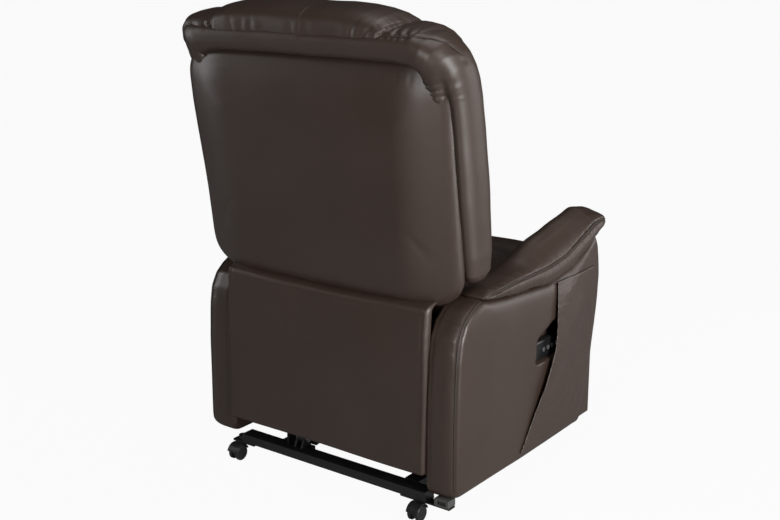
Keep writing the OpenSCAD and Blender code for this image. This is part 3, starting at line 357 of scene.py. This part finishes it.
def cover(name, node, voxel, material):
    """A fine even skin over a soft node, ready to be shaped."""
    piece = link(bpy.data.objects.new(name, frame["nodes"][node].data.copy()))
    remesh = piece.modifiers.new("even", "REMESH")
    remesh.mode = "VOXEL"
    remesh.voxel_size = voxel
    remesh.use_smooth_shade = True
    even = piece.modifiers.new("soft", "SMOOTH")
    even.factor = 0.5
    even.iterations = 4
    use_modifiers(piece)
    piece.data.materials.clear()
    piece.data.materials.append(material)
    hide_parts(node)
    return piece


def subdivide(piece):
    finer = piece.modifiers.new("finer", "SUBSURF")
    finer.levels = finer.render_levels = 1
    use_modifiers(piece)
    smooth_shade(piece.data)


def fill_with_air(piece, slack, cap):
    """Shrinks the skin by slack, swells it as cloth, and keeps each point within cap of where it began."""
    start = places(piece) - outward(piece) * slack
    move_to(piece, start)
    cloth = piece.modifiers.new("air", "CLOTH")
    cloth.settings.use_pressure = True
    cloth.settings.uniform_pressure_force = AIR_PRESSURE
    cloth.settings.effector_weights.gravity = 0
    cloth.settings.quality = 4
    cloth.settings.tension_stiffness = 8
    cloth.settings.compression_stiffness = 8
    cloth.settings.bending_stiffness = 0.4
    cloth.point_cache.frame_start = 1
    cloth.point_cache.frame_end = AIR_FRAMES
    for number in range(1, AIR_FRAMES + 1):
        scene.frame_set(number)
    graph = bpy.context.evaluated_depsgraph_get()
    swollen = piece.evaluated_get(graph).to_mesh()
    moved = read_vectors(swollen.vertices, "co") - start
    piece.evaluated_get(graph).to_mesh_clear()
    piece.modifiers.clear()
    scene.frame_set(1)
    reach = np.linalg.norm(moved, axis=1, keepdims=True)
    move_to(piece, start + moved * np.minimum(1, cap / np.maximum(reach, 1e-9)))


def nearest_on(path, points, closed=False):
    """For each point: its distance from the path, and how far along the path that is."""
    path = np.array(path, float)
    ends = np.roll(path, -1, axis=0) if closed else path[1:]
    starts = path if closed else path[:-1]
    best = np.full(len(points), 1e9)
    along = np.zeros(len(points))
    passed = 0.0
    for a, b in zip(starts, ends):
        run = b - a
        length = np.linalg.norm(run)
        if length < 1e-9:
            continue
        t = np.clip((points - a) @ run / length ** 2, 0, 1)
        gap = np.linalg.norm(points - (a + t[:, None] * run), axis=1)
        nearer = gap < best
        best[nearer] = gap[nearer]
        along[nearer] = passed + t[nearer] * length
        passed += length
    return best, along


def press_seams(piece, paths, depth, width, closed=False):
    """Draws the skin in along sewn lines, each with its own path."""
    points, out = places(piece), outward(piece)
    for path in paths:
        gap, _ = nearest_on(path, points, closed)
        points = points - out * (depth * np.exp(-(gap / width) ** 2))[:, None]
    move_to(piece, points)


def wave(along, pitch, seed):
    """An uneven ripple along a seam."""
    rng = np.random.default_rng(seed)
    total = np.zeros_like(along)
    for share in (1.0, 1.7, 0.55):
        phase = rng.uniform(0, 6.28)
        total += np.sin(along * 2 * math.pi / (pitch * share) + phase) * rng.uniform(0.5, 1)
    return total / 2.2


def gather(piece, path, depth, pitch, reach, seed, closed=False):
    """Small puckers that run out of a sewn line, and fade within reach of it and toward the line's ends."""
    points, out = places(piece), outward(piece)
    gap, along = nearest_on(path, points, closed)
    share = along / (along.max() or 1)
    fade = np.clip(share / GATHER_FADE, 0, 1) * np.clip((1 - share) / GATHER_FADE, 0, 1)
    amount = depth * wave(along, pitch, seed) * np.exp(-(gap / reach) ** 2) * fade
    move_to(piece, points + out * amount[:, None])


def rumple(piece, amount, size, seed):
    """Broad soft unevenness of stuffed leather."""
    rng = np.random.default_rng(seed)
    points, out = places(piece), outward(piece)
    total = np.zeros(len(points))
    for _ in range(9):
        axis = rng.normal(size=3)
        axis /= np.linalg.norm(axis)
        across = size * rng.uniform(0.6, 1.5)
        total += np.sin(points @ axis * 2 * math.pi / across + rng.uniform(0, 6.28))
    move_to(piece, points + out * (amount * total / 3)[:, None])


def cut_loops(piece, point, normal):
    """Outlines where a plane cuts the piece, the one with the most points first."""
    mesh = bmesh.new()
    mesh.from_mesh(piece.data)
    cut = bmesh.ops.bisect_plane(mesh, geom=mesh.verts[:] + mesh.edges[:] + mesh.faces[:],
                                 plane_co=point, plane_no=normal)["geom_cut"]
    edges = {e for e in cut if isinstance(e, bmesh.types.BMEdge)}
    loops = []
    while edges:
        edge = edges.pop()
        loop = [edge.verts[0], edge.verts[1]]
        while True:
            step = next((e for e in loop[-1].link_edges if e in edges), None)
            if step is None:
                break
            edges.discard(step)
            loop.append(step.other_vert(loop[-1]))
        if loop[-1] is loop[0]:
            loop.pop()
        loops.append([v.co.copy() for v in loop])
    mesh.free()
    return sorted(loops, key=len, reverse=True)


def evenly(points, pitch, closed=False):
    """The same line with points a pitch apart."""
    points = [Vector(p) for p in points]
    if closed:
        points = points + [points[0]]
    steps = [0.0]
    for a, b in zip(points, points[1:]):
        steps.append(steps[-1] + (b - a).length)
    count = max(3, int(round(steps[-1] / pitch)))
    stations = [steps[-1] * i / count for i in range(count if closed else count + 1)]
    columns = [np.interp(stations, steps, [p[k] for p in points]) for k in range(3)]
    return [Vector(p) for p in zip(*columns)]


def smoothed(points, rounds=2, closed=False):
    """The line with its corners eased; an open line keeps its ends."""
    points = [Vector(p) for p in points]
    count = len(points)
    for _ in range(rounds):
        points = [
            p if not closed and i in (0, count - 1) else (points[i - 1] + p * 2 + points[(i + 1) % count]) / 4
            for i, p in enumerate(points)]
    return points


def on_skin(piece, points, lift=0.0):
    """The points moved onto the piece's skin, and lifted off it."""
    mesh = piece.data
    tree = BVHTree.FromPolygons([v.co for v in mesh.vertices], [face.vertices for face in mesh.polygons])
    found = [tree.find_nearest(Vector(p)) for p in points]
    return [hit[0] + hit[1] * lift for hit in found]


def welt(name, points, body, radius, closed=False):
    """A thin sewn cord along a line, riding on a body."""
    data = bpy.data.curves.new(name, "CURVE")
    data.dimensions = "3D"
    data.bevel_depth = radius
    data.bevel_resolution = 2
    data.use_fill_caps = True
    spline = data.splines.new("POLY")
    spline.points.add(len(points) - 1)
    for slot, point in zip(spline.points, points):
        slot.co = (*point, 1)
    spline.use_cyclic_u = closed
    data.materials.append(seam_hide)
    piece = link(bpy.data.objects.new(name, data))
    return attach(piece, body)


def stuffed(name, node, slack, cap, plane, press, pucker):
    """A cushion's cover: swollen, and sewn round where a plane cuts it. Gives the cover and its seam.
    press is the seam's depth and width; pucker is the gathers' depth, pitch, reach and seed."""
    cushion = cover(name, node, 0.006, hide)
    fill_with_air(cushion, slack, cap)
    subdivide(cushion)
    ring = cut_loops(cushion, *plane)[0]
    seam = evenly(smoothed(ring, 4, True), SEAM_PITCH, True)
    press_seams(cushion, [seam], *press, True)
    gather(cushion, seam, *pucker, True)
    return cushion, seam


# The back's leaning frame: its lean, the foot of its rear face, and its own rearward and upward directions
LEAN = math.radians(6.5)
BACK_FOOT = np.array((0, 0.343, 0.5))
REARWARD = np.array((0, math.cos(LEAN), -math.sin(LEAN)))
UPWARD = np.array((0, math.sin(LEAN), math.cos(LEAN)))


def leaning(x, y, z):
    """A point of the back's leaning frame, in the scene's frame."""
    return BACK_FOOT + np.array((x, 0, 0)) + REARWARD * y + UPWARD * z


def in_lean(points):
    """Width, depth and height of the scene's points in the back's leaning frame."""
    from_foot = points - BACK_FOOT
    return points[:, 0], from_foot @ REARWARD, from_foot @ UPWARD


def ease(value, start, end):
    """0 before start, 1 after end, and smooth between."""
    t = np.clip((value - start) / (end - start), 0, 1)
    return t * t * (3 - 2 * t)


def bump(value, centre, width):
    """1 at the centre, falling off smoothly to both sides."""
    return np.exp(-((value - centre) / width) ** 2)


def lean_path(points):
    return [leaning(*p) for p in points]


# Backrest -----------------------------------------------------------------

SHELL_HEIGHT = 0.544
# Half the shell's width at shares of its height
SHELL_HALF = ((0, 0.15, 0.35, 0.6, 0.75), (0.364, 0.365, 0.37, 0.3755, 0.377))


def skin_of_rings(name, rings, *nodes):
    """A closed leather skin through rings of equal length, capped at both ends, in place of soft nodes."""
    width = len(rings[0])
    last = len(rings) - 1
    verts = [v for ring in rings for v in ring]
    faces = []
    for low in range(0, last * width, width):
        high = low + width
        faces += [(low + j, low + (j + 1) % width, high + (j + 1) % width, high + j) for j in range(width)]
    for end, turn in ((0, -1), (last, 1)):
        middle = len(verts)
        verts.append(np.mean(rings[end], axis=0))
        first = end * width
        faces += [(first + j, first + (j + 1) % width, middle)[::turn] for j in range(width)]
    mesh = bpy.data.meshes.new(name)
    mesh.from_pydata([tuple(v) for v in verts], [], faces)
    mesh.materials.append(hide)
    skin = bmesh.new()
    skin.from_mesh(mesh)
    bmesh.ops.recalc_face_normals(skin, faces=skin.faces)
    skin.to_mesh(mesh)
    skin.free()
    smooth_shade(mesh)
    piece = link(bpy.data.objects.new(name, mesh))
    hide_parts(*nodes)
    return piece


def rounded(angle, half_a, half_b, power):
    """A point of a rounded box's outline: power 1 gives an ellipse, and less makes it squarer."""
    c, s = math.cos(angle), math.sin(angle)
    return half_a * math.copysign(abs(c) ** power, c), half_b * math.copysign(abs(s) ** power, s)


# The hood's band, one row per station from the middle of the top to a bolster's lower end: how far across and
# how far up the lean its centre lies, half its width, its rear and front faces, the power of its rounded
# outline, and by how many degrees it has bent round
BAND = np.array((
    (0, 0.588, 0.035, 0.01, -0.16, 0.64, 0), (0.12, 0.588, 0.035, 0.01, -0.16, 0.64, 0),
    (0.26, 0.587, 0.0355, 0.01, -0.156, 0.66, 0), (0.295, 0.583, 0.039, 0.01, -0.146, 0.72, 8),
    (0.3165, 0.5748, 0.043, 0.01, -0.136, 0.8, 20), (0.3315, 0.5632, 0.0465, 0.007, -0.13, 0.86, 36),
    (0.3395, 0.5477, 0.0495, 0.001, -0.132, 0.86, 52), (0.3425, 0.5274, 0.0515, -0.008, -0.138, 0.86, 68),
    (0.3426, 0.504, 0.0525, -0.017, -0.146, 0.86, 80), (0.342, 0.47, 0.0535, -0.026, -0.152, 0.84, 88),
    (0.342, 0.4, 0.0535, -0.031, -0.157, 0.84, 90), (0.342, 0.25, 0.0545, -0.035, -0.161, 0.84, 90),
    (0.34, 0.12, 0.054, -0.042, -0.162, 0.86, 90), (0.338, 0.075, 0.05, -0.046, -0.158, 0.86, 90),
    (0.336, 0.058, 0.042, -0.056, -0.148, 0.9, 90), (0.335, 0.051, 0.026, -0.075, -0.13, 1, 90)))
BAND_RUN = np.concatenate(([0], np.cumsum(np.hypot(np.diff(BAND[:, 0]), np.diff(BAND[:, 1])))))
BAND_LENGTH = 0.9
# The degrees of bend round which the sitter's left corner of the band is blunter, and how wide that reaches
BLUNT_BEND = 36
BLUNT_WIDTH = 26
# The place across, depth and width of the groove pressed into the bolsters' rear
GROOVE_PLACE = 0.36
GROOVE_DEPTH = 0.016
GROOVE_WIDTH = 0.012
# Folds across the band where it bends: share of its length, depth, width and tilt
band_folds = ((0.452, 0.0015, 0.0032, 0.006), (0.468, 0.002, 0.0034, -0.005), (0.484, 0.0015, 0.0032, 0.004),
              (0.503, 0.001, 0.003, -0.004), (0.43, 0.0008, 0.0034, 0.008))
BAND_SEAM_RADIUS = 0.0012
SEAM_TURN = math.radians(48)


def band_station(share, side):
    """Values of the band at a share of its half length, on one side, with the bend in radians."""
    x, z, half, rear, front, power, bend = (
        np.interp(share * BAND_RUN[-1], BAND_RUN, column) for column in BAND.T)
    blunt = math.exp(-((bend - BLUNT_BEND) / BLUNT_WIDTH) ** 2) if side > 0 else 0
    return x + 0.014 * blunt, z + 0.013 * blunt, half + 0.008 * blunt, rear, front, power, math.radians(bend)


def band_point(share, side, turn, lift=0.0):
    """A point of the band's skin: turn 0 faces out of the hood, 90 degrees faces the rear."""
    x, z, half, rear, front, power, bend = band_station(share, side)
    out, deep = rounded(turn, half + lift, (rear - front) / 2 + lift, power)
    return leaning(side * (x + out * math.sin(bend)), (rear + front) / 2 + deep, z + out * math.cos(bend))


def seam_turn(share):
    """Where the seam runs round the band: it slips over to the outer side past the bend."""
    return SEAM_TURN - math.radians(75) * ease(share, 0.3, 0.5)


def band_relief(share, side, turn):
    """How far the skin is raised: unevenness, the groove, folds at the bend, the seam and its puckers."""
    x, _, half, _, _, power, bend = band_station(share, side)
    along = share * BAND_LENGTH
    total = 0.0004 * math.sin(along * 23 + turn) + 0.0002 * math.sin(along * 51 + 2 * turn + 1)
    beside = x + rounded(turn, half, 1, power)[0] * math.sin(bend) - GROOVE_PLACE
    if 0 < turn < 2.2:
        total -= GROOVE_DEPTH * math.exp(-(beside / GROOVE_WIDTH) ** 2) * ease(share, 0.4, 0.52)
    facing = max(0, math.sin(turn)) ** 0.5 * max(0.0, math.cos(turn - 1.75))
    for place, deep, wide, tilt in band_folds:
        shift = tilt * math.sin(2 * turn)
        total -= deep * math.exp(-((share - place - shift) / wide) ** 2) * facing
        total += deep * 0.6 * math.exp(-((share - place - 0.009 - shift) / wide) ** 2) * facing
    seam = (turn - seam_turn(share)) * (half + 0.03)
    total -= 0.0036 * math.exp(-(seam / 0.0035) ** 2)
    near = math.exp(-(seam / 0.022) ** 2)
    pucker = near * 0.0012 * math.sin(along * 260 + 3 * math.sin(along * 47))
    return total + pucker * math.exp(-((share - 0.4) / 0.16) ** 2)


def make_band():
    """The band along the top and down both bolsters, as one tube from the left end to the right."""
    rings = []
    shares = np.linspace(0, 1, 330)
    turns = np.linspace(0, 2 * math.pi, 120, endpoint=False)
    for side, order in ((1, shares[::-1]), (-1, shares[1:])):
        for share in order:
            rings.append([band_point(share, side, turn, band_relief(share, side, turn)) for turn in turns])
    band = skin_of_rings("hood_band_cover", rings, "left_bolster", "right_bolster")
    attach(band, "back")
    for side, name in ((1, "left"), (-1, "right")):
        seam = [band_point(s, side, seam_turn(s), -BAND_SEAM_RADIUS) for s in np.linspace(0, 0.96, 160)]
        welt(name + "_hood_seam", seam, "back", BAND_SEAM_RADIUS)


# The hood's top on the sitter's right and left, one row per place across: how high it stands up the lean, and
# its rear and front faces
top_right = ((0, 0.666, 0.004, -0.168), (0.06, 0.665, 0.004, -0.168), (0.12, 0.661, 0.004, -0.166),
             (0.165, 0.655, 0.004, -0.162), (0.2, 0.647, 0.003, -0.158), (0.22, 0.639, 0.001, -0.154),
             (0.236, 0.6325, -0.002, -0.15), (0.25, 0.6305, -0.003, -0.146), (0.27, 0.6295, -0.003, -0.143),
             (0.3, 0.625, -0.004, -0.138), (0.325, 0.616, -0.007, -0.133), (0.345, 0.603, -0.012, -0.126),
             (0.36, 0.588, -0.022, -0.116), (0.368, 0.574, -0.036, -0.1))
top_left = ((0, 0.666, 0.004, -0.168), (0.06, 0.6665, 0.004, -0.168), (0.12, 0.667, 0.004, -0.168),
            (0.18, 0.6665, 0.005, -0.168), (0.225, 0.664, 0.005, -0.166), (0.255, 0.659, 0.004, -0.162),
            (0.278, 0.651, 0.002, -0.16), (0.296, 0.6455, 0.001, -0.156), (0.318, 0.644, 0.001, -0.15),
            (0.345, 0.6415, -0.001, -0.143), (0.366, 0.634, -0.005, -0.134), (0.382, 0.619, -0.012, -0.122),
            (0.393, 0.6, -0.026, -0.108), (0.398, 0.582, -0.04, -0.095))
# Folds that run up from the seam on each side: place across, height, width and slant
folds_right = ((0.14, -0.0012, 0.007, 0.03), (0.18, -0.0016, 0.007, 0.03), (0.205, 0.0014, 0.008, 0.024),
               (0.222, -0.0034, 0.0065, 0.014), (0.242, 0.0022, 0.008, 0.002), (0.258, -0.003, 0.006, -0.01),
               (0.276, 0.002, 0.007, -0.016), (0.29, -0.003, 0.0055, -0.02), (0.304, 0.0016, 0.006, -0.022),
               (0.317, -0.0026, 0.005, -0.024))
folds_left = ((0.2, -0.001, 0.007, 0.02), (0.27, -0.0024, 0.007, 0.012), (0.295, -0.0022, 0.006, 0),
              (0.318, 0.0014, 0.008, -0.01), (0.34, -0.0024, 0.006, -0.014), (0.36, -0.0018, 0.006, -0.018))
HOOD_BASE = 0.556
# The crease where the hood's top steps down on the sitter's right, from its rear over to its front
HEAD_STEP = ((0.222, 0.006, 0.616), (0.228, 0.001, 0.628), (0.236, -0.03, 0.636), (0.24, -0.08, 0.64),
             (0.242, -0.13, 0.63), (0.242, -0.155, 0.6))


def top_ring(across, side):
    """The outline of the hood's top at a place across."""
    table, folds, crease = (top_right, folds_right, 1.3) if side < 0 else (top_left, folds_left, 0.7)
    spots, *columns = np.array(table).T
    high, rear, front = (np.interp(across, spots, column) for column in columns)
    ring = []
    for turn in np.linspace(0, 2 * math.pi, 110, endpoint=False):
        deep, up = rounded(turn, (rear - front) / 2, (high - HOOD_BASE) / 2, 0.66)
        rise = max(0, math.sin(turn))
        back = max(0, math.cos(turn))
        fold = 0.0
        for place, tall, wide, slant in folds:
            fold += tall * math.exp(-((across - place - slant * rise) / wide) ** 2)
        low = math.exp(-((turn - 0.12) / 0.35) ** 2) + 0.35 * math.exp(-((turn - 0.8) / 0.5) ** 2)
        ripple = (0.0006 * math.sin(across * 128 + 2.4 * math.sin(across * 41))
                  * math.exp(-((turn - 0.1) / 0.22) ** 2))
        swell = 0.0016 * math.sin(across * 19 + side) * rise * back
        out = crease * fold * low + ripple + swell
        ring.append(leaning(side * across, (rear + front) / 2 + deep + out * math.cos(turn),
                            (HOOD_BASE + high) / 2 + up + out * math.sin(turn)))
    return ring


def make_head():
    """The hood's top from its left end to its right, with a crease on each side where it steps down."""
    right_end, left_end = top_right[-1][0], top_left[-1][0]
    spans = np.concatenate((np.linspace(0, 0.2, 90), np.linspace(0.2, right_end, 120)[1:],
                            np.linspace(right_end, left_end, 24)[1:]))
    rings = [top_ring(s, 1) for s in spans[::-1]]
    rings += [top_ring(s, -1) for s in spans[1:] if s <= right_end]
    head = skin_of_rings("head_cover", rings, "head_cushion")
    for sign, out in ((-1, 0), (1, 0.05)):
        step = lean_path([(sign * (x + out), y, z) for x, y, z in HEAD_STEP])
        step = on_skin(head, smoothed(evenly(step, 0.012)))
        press_seams(head, [step], 0.004, 0.0055)
        gather(head, step, 0.0012, 0.03, 0.024, 43 + sign)
    rumple(head, 0.0013, 0.16, 48)
    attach(head, "back")


def make_shell():
    """The tight rear cover: rolled in toward its sides and ends, with slack and a hem along its top."""
    shell = cover("back_cover", "back_shell", 0.007, tight_hide)
    subdivide(shell)
    points = places(shell)
    x, y, z = in_lean(points)
    half = np.interp(z / SHELL_HEIGHT, *SHELL_HALF)
    side, ends = half - abs(x), np.minimum(z, SHELL_HEIGHT - z)
    rear = ease(y, -0.085, -0.002)
    roll_in = ((0.026 - 0.009 * np.sign(x)) * (1 - ease(side, -0.02, 0.145)) ** 1.4
               + 0.008 * (1 - ease(ends, 0.0, 0.08)) ** 2) * rear
    points[:, 0] *= 1 + (0.035 * ease(z, 0.18, 0.46) + 0.01) * (x > 0) - 0.03 * (x < 0)
    points[:, 2] += 0.018 * ease(z, 0.42, 0.54)
    hollow = 0.002 * bump(z, 0.36, 0.12) * bump(x, 0.05, 0.22) * rear
    sag = 0.0025 * bump(z, 0.13, 0.07) * bump(x, -0.1, 0.24) * rear
    move_to(shell, points + REARWARD * (sag - roll_in - hollow)[:, None])
    rumple(shell, 0.0005, 0.3, 3)
    hem = lean_path([(0.325, -0.004, 0.527), (0.2, 0.002, 0.53), (0, 0.003, 0.531), (-0.2, 0.002, 0.53),
                     (-0.33, -0.006, 0.527), (-0.362, -0.02, 0.505), (-0.374, -0.026, 0.47)])
    press_seams(shell, [smoothed(evenly(hem, 0.02))], 0.0022, 0.0035)
    gather(shell, hem[3:], 0.0006, 0.03, 0.012, 4)
    # Drags that fan out of the lower corners
    for x0, z0, reach in ((0.33, 0.05, 0.06), (-0.32, 0.045, 0.07)):
        fan = [lean_path([(x0 * 1.08, -0.01, z0 + 0.02 * k), (x0 * (1 - reach * k), 0, z0 + 0.05 + 0.03 * k)])
               for k in range(1, 4)]
        press_seams(shell, fan, 0.0009, 0.008)
    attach(shell, "back")


def make_back_cushions():
    for name, seed, low, high in (("lumbar_cushion", 11, -0.03, 0.19), ("back_cushion", 12, 0.2, 0.54)):
        cushion, seam = stuffed(name + "_cover", name, 0.006, 0.024, (leaning(0, -0.1, 0), REARWARD),
                                (0.004, 0.006), (0.0018, 0.026, 0.028, seed))
        rumple(cushion, 0.0016, 0.22, seed)
        centre = (low + high) / 2
        quilt = lean_path([(-0.2, -0.19, centre), (0, -0.2, centre - 0.004), (0.2, -0.19, centre)])
        quilt = evenly(quilt, QUILT_PITCH)
        press_seams(cushion, [quilt], 0.005, 0.012)
        gather(cushion, quilt, 0.0016, 0.035, 0.03, seed + 5)
        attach(cushion, "back")
        welt(name + "_welt", on_skin(cushion, seam, 0.0004), "back", 0.0018, True)


make_shell()
make_band()
make_back_cushions()
make_head()

# Seat -----------------------------------------------------------------------


def make_seat():
    for name, seed, height in (("seat_cushion", 21, 0.43), ("seat_front_roll", 22, 0.44)):
        cushion, seam = stuffed(name + "_cover", name, 0.004, 0.018, ((0, 0, height), (0, 0, 1)),
                                (0.003, 0.005), (0.0014, 0.028, 0.022, seed))
        rumple(cushion, 0.0015, 0.2, seed)
        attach(cushion, "seat")
        welt(name + "_welt", on_skin(cushion, seam, 0.0004), "seat", 0.0016, True)


def make_footrest():
    pad, seam = stuffed("footrest_cover", "footrest_pad", 0.004, 0.014, ((0, -0.385, 0), (0, 1, 0)),
                        (0.003, 0.005), (0.0014, 0.026, 0.022, 25))
    for height in (0.2, 0.3):
        quilt = evenly([(-0.25, -0.41, height), (0.25, -0.41, height)], QUILT_PITCH)
        press_seams(pad, [quilt], 0.005, 0.009)
        gather(pad, quilt, 0.0012, 0.03, 0.02, int(height * 100))
    rumple(pad, 0.001, 0.18, 26)
    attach(pad, "footrest")
    welt("footrest_welt", on_skin(pad, seam, 0.0004), "footrest", 0.0016, True)


make_seat()
make_footrest()

# Arms -------------------------------------------------------------------------

ARM_OUT = 0.393
ARM_REAR = 0.358
ARM_PADDING = 0.01
# Distance in front of the arms' rear face, and height: the outer piping, the line under the roll that the
# gathers follow, and the rear edge
outer_piping = ((0.106, 0.532), (0.182, 0.541), (0.253, 0.542), (0.377, 0.541), (0.466, 0.551),
                (0.535, 0.576), (0.618, 0.608), (0.66, 0.612), (0.678, 0.606))
under_seam = ((0.106, 0.53), (0.161, 0.515), (0.207, 0.509), (0.304, 0.502), (0.406, 0.494), (0.508, 0.51),
              (0.588, 0.545), (0.644, 0.579))
rear_edge = ((0.004, 0.088), (0.002, 0.2), (0.003, 0.3), (0.007, 0.4), (0.015, 0.448), (0.034, 0.484),
             (0.06, 0.508), (0.084, 0.52), (0.108, 0.531))


def arm_path(points, sign, width):
    """A line of distances and heights at a given distance out from the middle, on one side."""
    return smoothed(evenly([(sign * width, ARM_REAR - d, z) for d, z in points], 0.008))


def pad_out(piece):
    """Swells the outer face, a little more on the left, and lowers the bottom and the front of the ridge."""
    points = places(piece)
    x, y, z = points.T
    points[:, 0] += np.sign(x) * (ARM_PADDING + 0.003 * (x > 0)) * ease(abs(x), 0.355, 0.379)
    points[:, 2] -= 0.011 * (1 - ease(z, 0.076, 0.2)) + 0.005 * ease(z, 0.53, 0.6) * bump(y, -0.2, 0.16)
    move_to(piece, points)


def make_arms():
    for side, sign in (("left", 1), ("right", -1)):
        body = cover(side + "_arm_cover", side + "_arm_body", 0.006, tight_hide)
        subdivide(body)
        pad_out(body)
        edge = on_skin(body, arm_path(rear_edge, sign, ARM_OUT - 0.012))
        press_seams(body, [edge], 0.0022, 0.0035)
        inner = on_skin(body, arm_path(rear_edge, sign, ARM_OUT - 0.078))
        press_seams(body, [inner], 0.0014, 0.003)
        cross = [(sign * w, 0.25 + 0.004 * math.sin(w * 90), 0.53) for w in np.linspace(0.31, 0.372, 14)]
        press_seams(body, [on_skin(body, cross)], 0.0018, 0.0035)
        rumple(body, 0.0007, 0.24, 51 + sign)
        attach(body, "seat")
        welt(side + "_arm_edge_welt", on_skin(body, edge, 0.0008), "seat", 0.0017)

        roll = cover(side + "_arm_roll_cover", side + "_arm_roll", 0.005, hide)
        subdivide(roll)
        pad_out(roll)
        piping = on_skin(roll, arm_path(outer_piping, sign, ARM_OUT + 0.004))
        press_seams(roll, [piping], 0.0035, 0.004)
        low = arm_path(under_seam, sign, ARM_OUT + 0.002)
        gather(roll, low, 0.0012, 0.04, 0.016, 53 + sign)
        gather(roll, piping, 0.0011, 0.032, 0.018, 55 + sign)
        rumple(roll, 0.0016, 0.13, 57 + sign)
        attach(roll, "seat")
        welt(side + "_arm_piping", on_skin(roll, smoothed(piping), 0.0012), "seat", 0.0019)


def make_pocket():
    """The pocket's outer panel, with a soft fold and a hollow that run up toward its front."""
    panel = cover("pocket_cover", "pocket_panel", 0.0025, tight_hide)
    points = places(panel) - np.array((0.01, 0, 0))
    points[:, 2] -= 0.012 * (1 - ease(points[:, 2], 0.076, 0.2))
    fold = nearest_on([(-0.392, -0.02, 0.235), (-0.398, -0.1, 0.33), (-0.398, -0.19, 0.4)], points)[0]
    hollow = nearest_on([(-0.392, 0.03, 0.15), (-0.398, -0.09, 0.24), (-0.398, -0.2, 0.3)], points)[0]
    swell = 0.003 * np.exp(-(fold / 0.035) ** 2) - 0.0015 * np.exp(-(hollow / 0.04) ** 2)
    points[:, 0] -= swell * ease(points[:, 1], -0.26, -0.2)
    move_to(panel, points)
    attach(panel, "seat")


# Rear skirt: half its width at the hem, the heights of its hem and of its upper edge, the length that spaces
# its upper and lower hems, its thickness, and the width of a hem
SKIRT_HALF = 0.3035
SKIRT_LOW = 0.116
SKIRT_TOP = 0.524
SKIRT_LENGTH = 0.386
SKIRT_THICK = 0.0022
SKIRT_HEM = 0.011
# How far the skirt's upper edge tucks forward, at shares of its height
SKIRT_TUCK = ((0.95, 0.97, 0.985, 1), (0, 0.002, 0.011, 0.03))


def skirt_point(u, v):
    """Middle surface of the skirt: u across, v from its hem up to the edge that tucks under the back."""
    half = SKIRT_HALF + 0.003 * v
    tuck = np.interp(v, *SKIRT_TUCK)
    tuck += 0.016 * (1 - ease(min(u, 1 - u) * half * 2, 0.0, 0.005))
    ripple = 0.0012 * math.sin(2 * math.pi * (1.3 * u + 0.25 * v)) * (1 - v)
    y = ARM_REAR + 0.0045 - 0.0102 * v ** 3 + ripple - 0.0008 * abs(2 * u - 1) ** 3 - tuck
    z = SKIRT_LOW + (SKIRT_TOP - 0.009 * math.sin(math.pi * u) * v - SKIRT_LOW) * v
    return Vector(((2 * u - 1) * half, y, z))


def skirt_relief(u, v):
    """Soft creases: a slack swag below the top edge, small puckers at the side hems, and broad unevenness."""
    side = min(u, 1 - u)
    swag = 0.003 * math.sin(2 * math.pi * (2.6 * u + 0.4)) * math.exp(-((v - 0.78) / 0.14) ** 2)
    pucker = 0.0007 * math.sin(v * 61 + 3 * math.sin(v * 17)) * math.exp(-(side / 0.03) ** 2)
    broad = 0.003 * math.sin(2 * math.pi * (0.9 * u + 1.3 * v) + 1)
    return swag + pucker + broad


def make_skirt():
    """The rear flap as one sheet of leather, with its hems standing out from it."""
    columns, rows = 150, 96
    front, rear = [], []
    for j in range(rows + 1):
        for i in range(columns + 1):
            u, v = i / columns, j / rows
            edge = min(u, 1 - u) * SKIRT_HALF * 2
            rim = min(edge, v * SKIRT_LENGTH, (1 - v) * SKIRT_LENGTH)
            seam = math.exp(-((rim - SKIRT_HEM) / 0.0016) ** 2)
            hemmed = 0.0016 if rim < SKIRT_HEM else 0
            lift = skirt_relief(u, v) * min(1, rim / 0.03 + 0.3) + hemmed - 0.0009 * seam
            lift = max(lift, -0.001)
            spot = skirt_point(u, v)
            rear.append(spot + Vector((0, SKIRT_THICK / 2 + lift, 0)))
            front.append(spot + Vector((0, -SKIRT_THICK / 2 + lift, 0)))
    wide = columns + 1
    count = len(rear)
    cells = [(k, k + 1, k + 1 + wide, k + wide)
             for low in range(0, rows * wide, wide) for k in range(low, low + columns)]
    rim = (list(range(columns)) + [j * wide + columns for j in range(rows)]
           + [rows * wide + i for i in range(columns, 0, -1)] + [j * wide for j in range(rows, 0, -1)])
    faces = [cell[::-1] for cell in cells] + [tuple(k + count for k in cell) for cell in cells]
    faces += [(a, b, b + count, a + count) for a, b in zip(rim, rim[1:] + rim[:1])]
    mesh = bpy.data.meshes.new("rear_skirt")
    mesh.from_pydata(rear + front, [], faces)
    mesh.materials.append(tight_hide)
    smooth_shade(mesh)
    skirt = link(bpy.data.objects.new("rear_skirt", mesh))
    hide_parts("rear_flap")
    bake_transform(skirt)


def make_handset():
    """The handset with its ends rounded over."""
    mesh = frame["nodes"]["handset_body"].data.copy()
    soft = bmesh.new()
    soft.from_mesh(mesh)
    depths = [v.co.y for v in soft.verts]
    ends = [e for e in soft.edges if e.calc_length() > 0 and len(e.link_faces) == 2
            and any(all(abs(v.co.y - end) < 1e-5 for v in e.verts) for end in (max(depths), min(depths)))
            and any(abs(f.normal.y) < 0.5 for f in e.link_faces)]
    bmesh.ops.bevel(soft, geom=ends, offset=0.009, segments=5, affect="EDGES", clamp_overlap=True)
    soft.to_mesh(mesh)
    soft.free()
    handset = link(bpy.data.objects.new("handset", mesh))
    handset.data.materials.clear()
    handset.data.materials.append(finishes["black_plastic"])
    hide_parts("handset_body")
    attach(handset, "seat")


make_arms()
make_pocket()
make_skirt()
make_handset()
